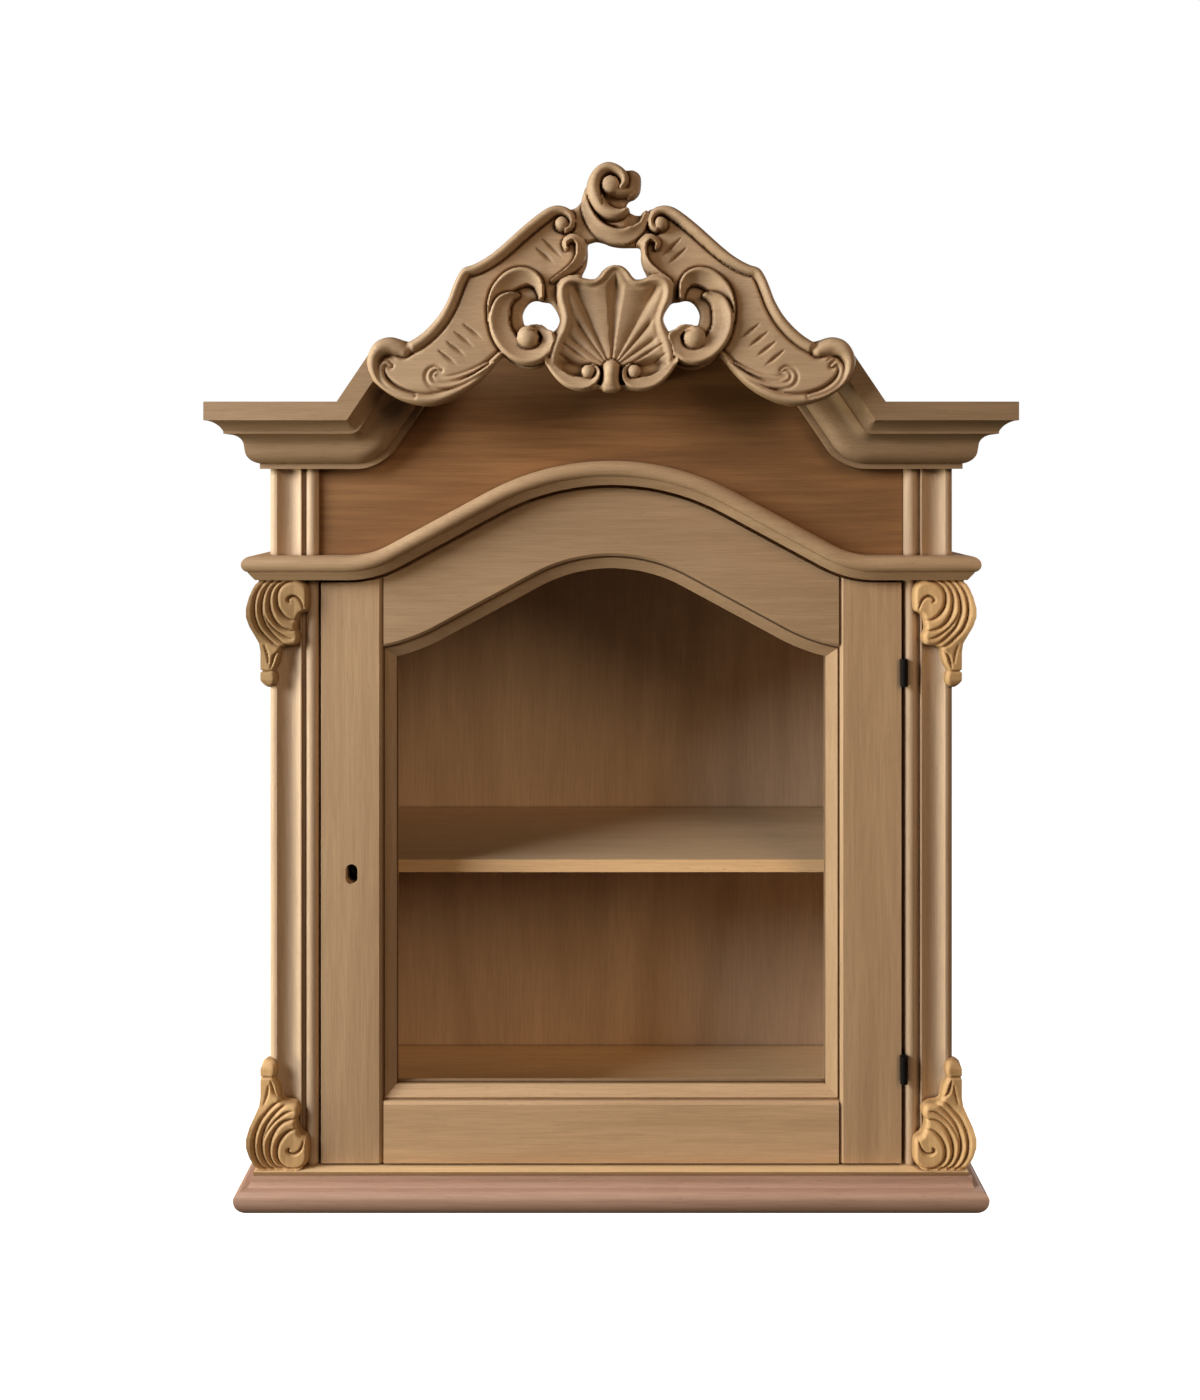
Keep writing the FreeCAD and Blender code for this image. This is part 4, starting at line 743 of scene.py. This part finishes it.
def crest_heights(x, z, ground):
    """The crest's relief; its two wings are alike, and the shell and the top curl lean aside."""
    carving = Carving(-np.abs(x), z, ground)
    carve_wing(carving)
    carve_tip(carving)
    carve_scroll(carving)
    carving.x = -np.abs(x - SHELL_LEAN * (z - SHELL_ROOT))
    carve_shell(carving)
    carving.x = x
    carve_top(carving)
    return carving.height


# From heights to meshes.

MM = 0.001
SHARP_ANGLE = math.radians(50)
OUTLINE_STEPS = 5
SNAP_SHARE = 0.5
SLIVER_SHARE = 1e-4


def new_piece(name, bm, material, replaced, body):
    mesh = bpy.data.meshes.new(name)
    bm.to_mesh(mesh)
    bm.free()
    mesh.polygons.foreach_set("use_smooth", [True] * len(mesh.polygons))
    mesh.set_sharp_from_angle(angle=SHARP_ANGLE)
    mesh.materials.append(material)
    piece = bpy.data.objects.new(name, mesh)
    bpy.context.scene.collection.objects.link(piece)
    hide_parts(replaced)
    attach(piece, body)


def whole(bm):
    return bm.verts[:] + bm.edges[:] + bm.faces[:]


def only(kind, geometry):
    return [g for g in geometry if isinstance(g, kind)]


def drop_loose(bm):
    bmesh.ops.delete(bm, geom=[v for v in bm.verts if not v.link_faces], context="VERTS")


def places(bm):
    """Where a flat board's points lie, across and up."""
    return np.array([v.co[:2] for v in bm.verts]).T


def board_distance(x, z, loops):
    """Distance to the nearest edge of a board with holes, positive on it, and the place there."""
    inside, near_x, near_z = edge_distance(x, z, loops[0])
    for loop in loops[1:]:
        into, at_x, at_z = edge_distance(x, z, loop)
        nearer = -into < inside
        inside = np.where(nearer, -into, inside)
        near_x, near_z = np.where(nearer, at_x, near_x), np.where(nearer, at_z, near_z)
    return inside, near_x, near_z


def outer_edge(x, z, loops, wide):
    """1 at a board's edge, falling to 0 at a width in from it."""
    return (1 - np.clip(board_distance(x, z, loops)[0] / wide, 0, 1)) ** 2


def trimmed_board(outline, holes, cell):
    """A fine flat grid in x and z, millimetres, trimmed to an outline with holes."""
    loops = [smooth_path(loop, closed=True, steps=OUTLINE_STEPS) for loop in (outline, *holes)]
    low, high = loops[0].min(0) - 2 * cell, loops[0].max(0) + 2 * cell
    across, up = (int(v) for v in np.ceil((high - low) / cell))
    bm = bmesh.new()
    bmesh.ops.create_grid(bm, x_segments=across, y_segments=up, size=0.5)
    bmesh.ops.scale(bm, vec=(across * cell, up * cell, 1.0), verts=bm.verts)
    middle = (low[0] + across * cell / 2, low[1] + up * cell / 2, 0.0)
    bmesh.ops.translate(bm, vec=middle, verts=bm.verts)
    inside, near_x, near_z = board_distance(*places(bm), loops)
    bm.verts.ensure_lookup_table()
    snapped = np.abs(inside) < SNAP_SHARE * cell
    outside = (inside < 0) & ~snapped
    for face in bm.faces:
        off = [v.index for v in face.verts if outside[v.index]]
        if len(off) == 1 and not all(snapped[v.index] or v.index in off for v in face.verts):
            snapped[off[0]] = True
    outside &= ~snapped
    for i in np.flatnonzero(snapped):
        bm.verts[i].co = (near_x[i], near_z[i], 0.0)
    bmesh.ops.delete(bm, geom=[bm.verts[i] for i in np.flatnonzero(outside)], context="VERTS")
    drop_loose(bm)
    slivers = [f for f in bm.faces if f.calc_area() < SLIVER_SHARE * cell * cell]
    bmesh.ops.delete(bm, geom=slivers, context="FACES")
    drop_loose(bm)
    return bm, loops


def mean_over(height, x, z, cell, reach):
    """The mean height round each point, over a square of the given reach."""
    n = int(round(reach / cell))
    i, k = (np.round((v - v.min()) / cell).astype(int) + n for v in (x, z))
    total = np.zeros((i.max() + n + 1, k.max() + n + 1))
    count = np.zeros_like(total)
    np.add.at(total, (i, k), height)
    np.add.at(count, (i, k), 1.0)
    around = [(i + a, k + b) for a in range(-n, n + 1) for b in range(-n, n + 1)]
    return sum(total[at] for at in around) / sum(count[at] for at in around)


def hollows(height, x, z, cell, reach, slack, full, most):
    """How deep each point lies below those round it, from 0 to the most: painted shade that darkens
    the wood's colour in the hollows.
    """
    return np.clip((mean_over(height, x, z, cell, reach) - height - slack) / full, 0, most)


def carve_board(bm, points, hollow, back):
    """Move a board's points to their places and close it with walls and a flat back."""
    # Each point keeps its painted hollow shade; the walls and back get none.
    layer = bm.verts.layers.float.new("hollow")
    for vert, place, deep in zip(bm.verts, points, hollow):
        vert.co = place
        vert[layer] = deep
    rim = [e for e in bm.edges if e.is_boundary]
    made = bmesh.ops.extrude_edge_only(bm, edges=rim)["geom"]
    for vert in only(bmesh.types.BMVert, made):
        vert.co.y = back
        vert[layer] = 0.0
    open_edges = [e for e in bm.edges if e.is_boundary]
    bmesh.ops.triangle_fill(bm, edges=open_edges, use_beauty=True, normal=(0, 1, 0))
    bmesh.ops.recalc_face_normals(bm, faces=bm.faces)


# Steps.

class CABINET_OT_finish_wood(bpy.types.Operator):
    """Give the plain wooden parts their raw wood"""

    bl_idname = "cabinet.finish_wood"
    bl_label = "Wooden parts"

    def execute(self, context):
        f = finishes()
        pale, inner = (f.pale_wood, f.pale_grain), (f.inner_wood, f.inner_grain)
        base, step = (f.base_wood, f.base_grain), (f.step_wood, f.step_grain)
        for axis, names in (("Z", UPRIGHT), ("X", ACROSS), ("Y", FRONT_TO_BACK)):
            for name in names:
                tone = [PAINTED_BOARD_LIGHT.get(name, 1.0)] * 3
                give(raw_wood(f"{name}_wood", toned(tone, *pale), axis, "pale"), (name,))
        shelf_edge_light = (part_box("shelf")[0].y, SHELF_EDGE_LIGHT)
        board_edge_shade = (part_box("bottom_board")[0].y, BOARD_EDGE_SHADE)
        frieze = raw_wood("frieze_wood", (f.frieze_wood, f.frieze_grain), "X", "frieze")
        shelf = raw_wood("shelf_wood", toned(SHELF_TONE, *inner), "X", "shelf", edge=shelf_edge_light)
        give(raw_wood("post_wood", (f.post_wood, f.post_grain), "Z", "pale"), POSTS)
        give(frieze, ("frieze_panel",))
        give(raw_wood("back_wood", inner, "Z", "back"), ("back_panel",))
        give(shelf, ("shelf",))
        give(raw_wood("base_wood_x", base, "X", "base"), ("base_moulding_front",))
        give(raw_wood("base_wood_y", base, "Y", "base"), BASE_SIDES)
        give(raw_wood("step_wood", step, "X", "step", edge=board_edge_shade), ("bottom_board",))
        return {"FINISHED"}


class CABINET_OT_finish_metal(bpy.types.Operator):
    """Blacken the hinges and give the lock, pegs and screws their steel"""

    bl_idname = "cabinet.finish_metal"
    bl_label = "Hinges and lock"

    def execute(self, context):
        f = finishes()
        give(dark_metal("hinge_black", f.hinge_black), HINGES)
        give(dark_metal("lock_black", f.lock_black), LOCK)
        give(dark_metal("lock_steel", f.lock_steel), STEEL)
        return {"FINISHED"}


class CABINET_OT_finish_glass(bpy.types.Operator):
    """Make the door's pane clear"""

    bl_idname = "cabinet.finish_glass"
    bl_label = "Glass pane"

    def execute(self, context):
        f = finishes()
        give(clear_glass("pane_glass", f.glass_tint, f.glass_cover), ("glass_pane",))
        return {"FINISHED"}


# Painted shade in the carving's hollows: how far round is compared, what isn't counted, full depth
# and most shade.
CREST_HOLLOWS = (5.0, 0.8, 5.0, 0.65)
CORNER_HOLLOWS = (4.0, 0.4, 3.5, 0.6)
# The shell's dish, in millimetres like the crest's outlines, and how much painted shade darkens it.
SHELL_WIDE = 46.0
SHELL_MIDDLE = 138.0
SHELL_HIGH = 42.0
SHELL_SHADE = 0.26
DISH_EDGE = 1.5


class CABINET_OT_carve_crest(bpy.types.Operator):
    """Carve the pierced crest with its wings, scrolls, shell and top curl"""

    bl_idname = "cabinet.carve_crest"
    bl_label = "Crest"

    def execute(self, context):
        f, s = finishes(), context.scene.cabinet_crest
        cell = s.cell / MM
        holes = [CREST_MIDDLE_HOLE, CREST_SIDE_HOLE, mirrored(CREST_SIDE_HOLE)]
        bm, loops = trimmed_board(CREST_OUTLINE, holes, cell)
        x, z = places(bm)
        height = np.maximum(crest_heights(x, z, s.ground / MM), s.thinnest / MM)
        height -= s.edge_drop / MM * outer_edge(x, z, loops, s.edge_round / MM)
        height = np.maximum(height, s.thinnest / MM / 2)
        hollow = hollows(height, x, z, cell, *CREST_HOLLOWS)
        # Painted shade: the shell's dish is darkened more towards its middle.
        dish = 1 - (x / SHELL_WIDE) ** 2 - ((z - SHELL_MIDDLE) / SHELL_HIGH) ** 2
        hollow += SHELL_SHADE * np.clip(DISH_EDGE * dish, 0, 1)
        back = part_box("crest")[1].y
        points = [Vector((at_x * MM, back - h * MM, CREST_FOOT + at_z * MM))
                  for at_x, at_z, h in zip(x, z, height)]
        carve_board(bm, points, hollow, back)
        wood = raw_wood("crest_wood", (f.crest_wood, f.crest_grain), "X", "crest", f.painted_hollow_shade)
        new_piece("carved_crest", bm, wood, "crest", "carcass")
        return {"FINISHED"}


# Corner carvings: millimetres in from the post's corner and down from the flat end.

CORNER_RIDGE = [
    (0, 7.5), (7, 11.3), (15.5, 14.3), (25, 16.4), (33, 16.4), (42, 14.0), (51, 10.0), (58, 7.0),
    (66, 6.0), (92, 6.0), (99, 3.0)]
CORNER_OUTLINE = [
    (-21, 0), (-10, 0), (0, 0), (12, 0), (24, 0), (30.5, -0.8), (35, -3.4), (37.8, -8), (38.6, -15),
    (38.2, -24), (36.8, -28.5), (34, -30.4), (31.6, -31.5), (29.7, -34.5), (28.2, -40), (27.8, -45),
    (29.8, -49.5), (30.3, -53), (29.2, -57), (26.8, -59.6), (22, -60.6), (16, -61.6), (13, -64),
    (12.2, -69), (11, -75.5), (8.6, -80.5), (7.4, -83), (8.8, -87), (9.1, -91), (8, -95.5),
    (5, -98.3), (1, -99), (-4, -98), (-8, -96.5), (-21, -96)]
CORNER_GROOVES = (
    [(25, -0.3, 2.0, 2.2), (18, -2.4, 2.8, 3.0), (12.6, -6.6, 3.4, 3.6), (10, -12, 3.6, 3.8),
    (9.6, -18, 3.8, 4.0), (10.6, -24, 3.8, 4.2), (13.6, -29.8, 3.8, 4.2), (17.6, -34, 3.4, 3.8),
    (22, -36.6, 2.8, 3.0), (27, -37, 1.8, 1.6)],
    [(15, -0.2, 2.2, 2.4), (9, -3.6, 3.0, 3.2), (5.2, -8.6, 3.6, 3.6), (3.4, -14.6, 3.8, 3.8),
    (3.2, -21, 4.0, 4.0), (4.2, -28, 4.0, 4.2), (6.8, -35, 4.0, 4.2), (10.6, -40.6, 3.8, 4.0),
    (15.6, -44.4, 3.4, 3.6), (21, -46, 2.8, 3.0), (26.6, -46.6, 1.6, 1.6)],
    [(-0.8, -30, 0.8, 0.8), (1.6, -36.6, 2.2, 2.4), (6.2, -43.4, 2.6, 3.0), (12.8, -49.2, 2.6, 3.0),
    (18.4, -52.6, 2.4, 2.8), (24, -54, 1.2, 1.2)],
    [(7, -0.2, 2.2, 2.4), (2.4, -4.2, 3.0, 3.2), (-0.8, -9.6, 3.6, 3.6), (-2.8, -16, 3.8, 4.0),
    (-3.6, -23, 4.0, 4.0), (-3.4, -30, 4.0, 4.2), (-1.8, -36.6, 4.0, 4.2), (0.6, -42.8, 3.8, 4.0),
    (5, -48.8, 3.6, 3.6), (10.4, -54.4, 3.2, 3.2), (16, -58.6, 2.4, 2.4), (22, -60.6, 1.6, 1.4)],
    [(0, -0.2, 2.0, 2.0), (-4.2, -5, 2.6, 2.6), (-7.4, -10.8, 2.8, 3.0), (-9.2, -17.4, 3.0, 3.2),
    (-9.8, -25, 3.2, 3.4), (-9.4, -32.4, 3.4, 3.6), (-7.6, -39.8, 3.4, 3.6),
    (-4.4, -46.8, 3.4, 3.6), (0.8, -53.2, 3.2, 3.2), (6.6, -59, 2.8, 2.8), (12.4, -62.2, 2.0, 2.0)],
)
# The scroll's spiral, two gouges down the bud and the ring round its neck, with their sharpness.
CORNER_CUTS = (
    ([(34, -29.4, 0.8, 0.8), (33.2, -24, 1.3, 2.2), (30.8, -18.6, 1.6, 3.0),
    (26.4, -15.2, 1.8, 3.4), (22, -15.6, 1.8, 3.4), (19.8, -18.4, 1.9, 3.4),
    (21.4, -20.6, 1.3, 1.8)], 1.1),
    ([(10, -66, 1.6, 1.6), (6.5, -70, 2.4, 3.0), (4.6, -76, 2.2, 2.8), (3.4, -81, 1.2, 1.2)], 1.5),
    ([(-2.4, -60, 1.4, 1.4), (0, -68, 1.8, 2.2), (1.4, -76, 1.4, 1.6)], 1.5),
    ([(-9, -83.4, 1.5, 2.2), (0, -83.8, 1.6, 2.6), (8.5, -83.2, 1.5, 2.2)], 1.4),
)
CORNER_BURY = 3.0
CORNER_LEAST = 0.6
# Height of the flank away from the corner, and how far in the ridge falls to it.
FLANK = 9.0
FLANK_REACH = 25
GROOVE_SHARPNESS = 2.0
# The eased edge: how much and how far it falls, how wide it is, and where the flat end has none.
EASE_SHARE, EASE_MOST, EASE_WIDE = 0.75, 5.5, 4.0
END_RUN = 3.0


def corner_heights(x, z):
    """Relief on the front flank of a corner: ribs that wrap a small scroll, and a bud below."""
    ridge = np.interp(-z, *zip(*CORNER_RIDGE))
    carving = Carving(x, z, 0.0)
    near = np.clip((FLANK_REACH - x) / (FLANK_REACH + ridge), 0, 1)
    carving.height = FLANK + (ridge - FLANK) * near
    for groove in CORNER_GROOVES:
        carving.cut(groove, GROOVE_SHARPNESS)
    for gouge, sharpness in CORNER_CUTS:
        carving.cut(gouge, sharpness)
    return carving.height


def corner_half(cell):
    """The front flank of a corner carving, cut at the corner's diagonal; x in, y forward, z up."""
    bm, loops = trimmed_board(CORNER_OUTLINE, [], cell)
    x, z = places(bm)
    height = corner_heights(x, z)
    edge = outer_edge(x, z, loops, EASE_WIDE)
    height -= eased(-z / END_RUN) * np.minimum(EASE_SHARE * height, EASE_MOST) * edge
    hollow = hollows(height, x, z, cell, *CORNER_HOLLOWS)
    points = [Vector((at_x, -max(h, CORNER_LEAST), at_z)) for at_x, at_z, h in zip(x, z, height)]
    carve_board(bm, points, hollow, CORNER_BURY)
    bmesh.ops.bisect_plane(bm, geom=whole(bm), dist=1e-4, plane_co=(0, 0, 0), plane_no=(-1, 1, 0),
                           clear_outer=True)
    return bm


def corner_carving(cell):
    """A whole corner carving: the front flank and its twin on the cabinet's side."""
    bm = corner_half(cell)
    twin = bmesh.ops.duplicate(bm, geom=whole(bm))["geom"]
    swap = Matrix(((0, 1, 0, 0), (1, 0, 0, 0), (0, 0, 1, 0), (0, 0, 0, 1)))
    bmesh.ops.transform(bm, matrix=swap, verts=only(bmesh.types.BMVert, twin))
    bmesh.ops.reverse_faces(bm, faces=only(bmesh.types.BMFace, twin))
    bmesh.ops.remove_doubles(bm, verts=bm.verts, dist=0.01)
    bmesh.ops.recalc_face_normals(bm, faces=bm.faces)
    return bm


class CABINET_OT_carve_corners(bpy.types.Operator):
    """Carve the four scrolls on the corner posts"""

    bl_idname = "cabinet.carve_corners"
    bl_label = "Corner carvings"

    def execute(self, context):
        f = finishes()
        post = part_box("corner_post_left")[0]
        for level, up in (("upper", 1), ("lower", -1)):
            low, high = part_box(f"carving_{level}_left")
            seat = high.z if up > 0 else low.z
            for side, right in (("left", 1), ("right", -1)):
                bm = corner_carving(context.scene.cabinet_crest.corner_cell / MM)
                bmesh.ops.scale(bm, vec=(MM, MM, MM * up), verts=bm.verts)
                bmesh.ops.translate(bm, vec=(post.x, post.y, seat), verts=bm.verts)
                bmesh.ops.scale(bm, vec=(right, 1, 1), verts=bm.verts)
                bmesh.ops.recalc_face_normals(bm, faces=bm.faces)
                name = f"carving_{level}_{side}"
                woods = toned([PAINTED_CARVING_LIGHT[name]] * 3, f.carving_wood, f.carving_grain)
                wood = raw_wood(f"{name}_wood", woods, "Z", "carving", f.painted_hollow_shade)
                new_piece(f"carved_{level}_{side}", bm, wood, name, "carcass")
        return {"FINISHED"}


# The studio. Each light has a name, the property with its power, a place, a size and a colour.

LIGHTS = (("key_light", "key_power", (-2.2, -1.3, 0.8), 1.2, (0.96, 1.0, 1.0)),
          ("side_light", "side_power", (-2.7, -0.8, -0.5), 1.2, (1.0, 0.93, 0.66)),
          ("fill_light", "fill_power", (1.45, -2.5, 1.1), 1.5, (1.0, 0.73, 0.47)),
          ("back_light", "back_power", (1.9, 1.9, 0.5), 1.5, (1.0, 0.97, 0.93)))
LIGHT_TARGET = (0.0, -0.15, -0.25)
SKY_COLOUR = (1.0, 0.85, 0.66)
FLOOR_COLOUR = (0.92, 0.92, 0.91)
FLOOR_ROUGH = 0.9
FLOOR_REACH = 9.0
SENSOR = 36.0


def add_floor(scene, s):
    bm = bmesh.new()
    bmesh.ops.create_grid(bm, x_segments=4, y_segments=4, size=FLOOR_REACH)
    bmesh.ops.translate(bm, vec=(0, 0, s.floor_height), verts=bm.verts)
    mesh = bpy.data.meshes.new("studio_floor")
    bm.to_mesh(mesh)
    bm.free()
    paint = bpy.data.materials.new("studio_paint")
    paint.use_nodes = True
    tree = paint.node_tree
    put(tree, tree.nodes["Principled BSDF"], {
        "Base Color": (*FLOOR_COLOUR, 1.0), "Roughness": FLOOR_ROUGH,
        "Emission Color": (*WHITE, 1.0), "Emission Strength": s.floor_glow})
    mesh.materials.append(paint)
    floor = bpy.data.objects.new("studio_floor", mesh)
    scene.collection.objects.link(floor)
    floor.visible_diffuse = False
    floor.visible_glossy = False


def add_light(scene, name, power, place, size, warmth):
    lamp = bpy.data.lights.new(name, "AREA")
    lamp.shape = "DISK"
    lamp.size = size
    lamp.energy = power
    lamp.color = warmth
    light = bpy.data.objects.new(name, lamp)
    light.location = place
    aim = Vector(LIGHT_TARGET) - Vector(place)
    light.rotation_euler = aim.to_track_quat("-Z", "Y").to_euler()
    scene.collection.objects.link(light)


def add_sky(scene, strength):
    """A white backdrop for the camera, and a weak warm light from all round."""
    world = bpy.data.worlds.new("studio_sky")
    world.use_nodes = True
    tree = world.node_tree
    tree.nodes.clear()
    even = add(tree, "Background", {"Color": (*SKY_COLOUR, 1.0), "Strength": strength})
    white = add(tree, "Background", {"Color": (*WHITE, 1.0)})
    seen = add(tree, "LightPath", {}).outputs["Is Camera Ray"]
    mix = add(tree, "MixShader", {0: seen, 1: even.outputs[0], 2: white.outputs[0]})
    add(tree, "OutputWorld", {"Surface": mix.outputs[0]})
    scene.world = world


def add_camera(scene, s):
    data = bpy.data.cameras.new("photo_camera")
    data.lens = s.lens
    data.sensor_width = SENSOR
    data.shift_x, data.shift_y = s.shift_across, s.shift_up
    camera = bpy.data.objects.new("photo_camera", data)
    camera.location = (0.0, -s.camera_back, s.camera_height)
    camera.rotation_euler = (math.pi / 2, 0.0, 0.0)
    scene.collection.objects.link(camera)
    scene.camera = camera


class CABINET_OT_stage(bpy.types.Operator):
    """Set up the floor, the lights and the camera"""

    bl_idname = "cabinet.stage"
    bl_label = "Studio"

    def execute(self, context):
        scene, s = context.scene, context.scene.cabinet_studio
        add_floor(scene, s)
        for name, power, place, size, warmth in LIGHTS:
            add_light(scene, name, getattr(s, power), place, size, warmth)
        add_sky(scene, s.sky)
        add_camera(scene, s)
        scene.view_settings.view_transform = "Standard"
        return {"FINISHED"}


class CABINET_PT_sidebar(bpy.types.Panel):
    """Lists the steps that dress the cabinet"""

    bl_idname = "CABINET_PT_sidebar"
    bl_label = "Carved wall cabinet"
    bl_space_type = "VIEW_3D"
    bl_region_type = "UI"
    bl_category = "Cabinet"

    def draw(self, context):
        for step in STEPS:
            self.layout.operator(step.bl_idname)


GROUPS = (("cabinet_finishes", CabinetFinishes), ("cabinet_crest", CrestSizes),
          ("cabinet_studio", StudioSizes))
STEPS = (CABINET_OT_finish_wood, CABINET_OT_finish_metal, CABINET_OT_finish_glass,
         CABINET_OT_carve_crest, CABINET_OT_carve_corners, CABINET_OT_stage)


def register():
    for name, group in GROUPS:
        bpy.utils.register_class(group)
        setattr(bpy.types.Scene, name, bpy.props.PointerProperty(type=group))
    for step in STEPS:
        bpy.utils.register_class(step)
    bpy.utils.register_class(CABINET_PT_sidebar)


def unregister():
    bpy.utils.unregister_class(CABINET_PT_sidebar)
    for step in reversed(STEPS):
        bpy.utils.unregister_class(step)
    for name, group in reversed(GROUPS):
        delattr(bpy.types.Scene, name)
        bpy.utils.unregister_class(group)


def main():
    register()
    bpy.ops.cabinet.finish_wood()
    bpy.ops.cabinet.finish_metal()
    bpy.ops.cabinet.finish_glass()
    bpy.ops.cabinet.carve_crest()
    bpy.ops.cabinet.carve_corners()
    bpy.ops.cabinet.stage()


if __name__ == "__main__":
    main()
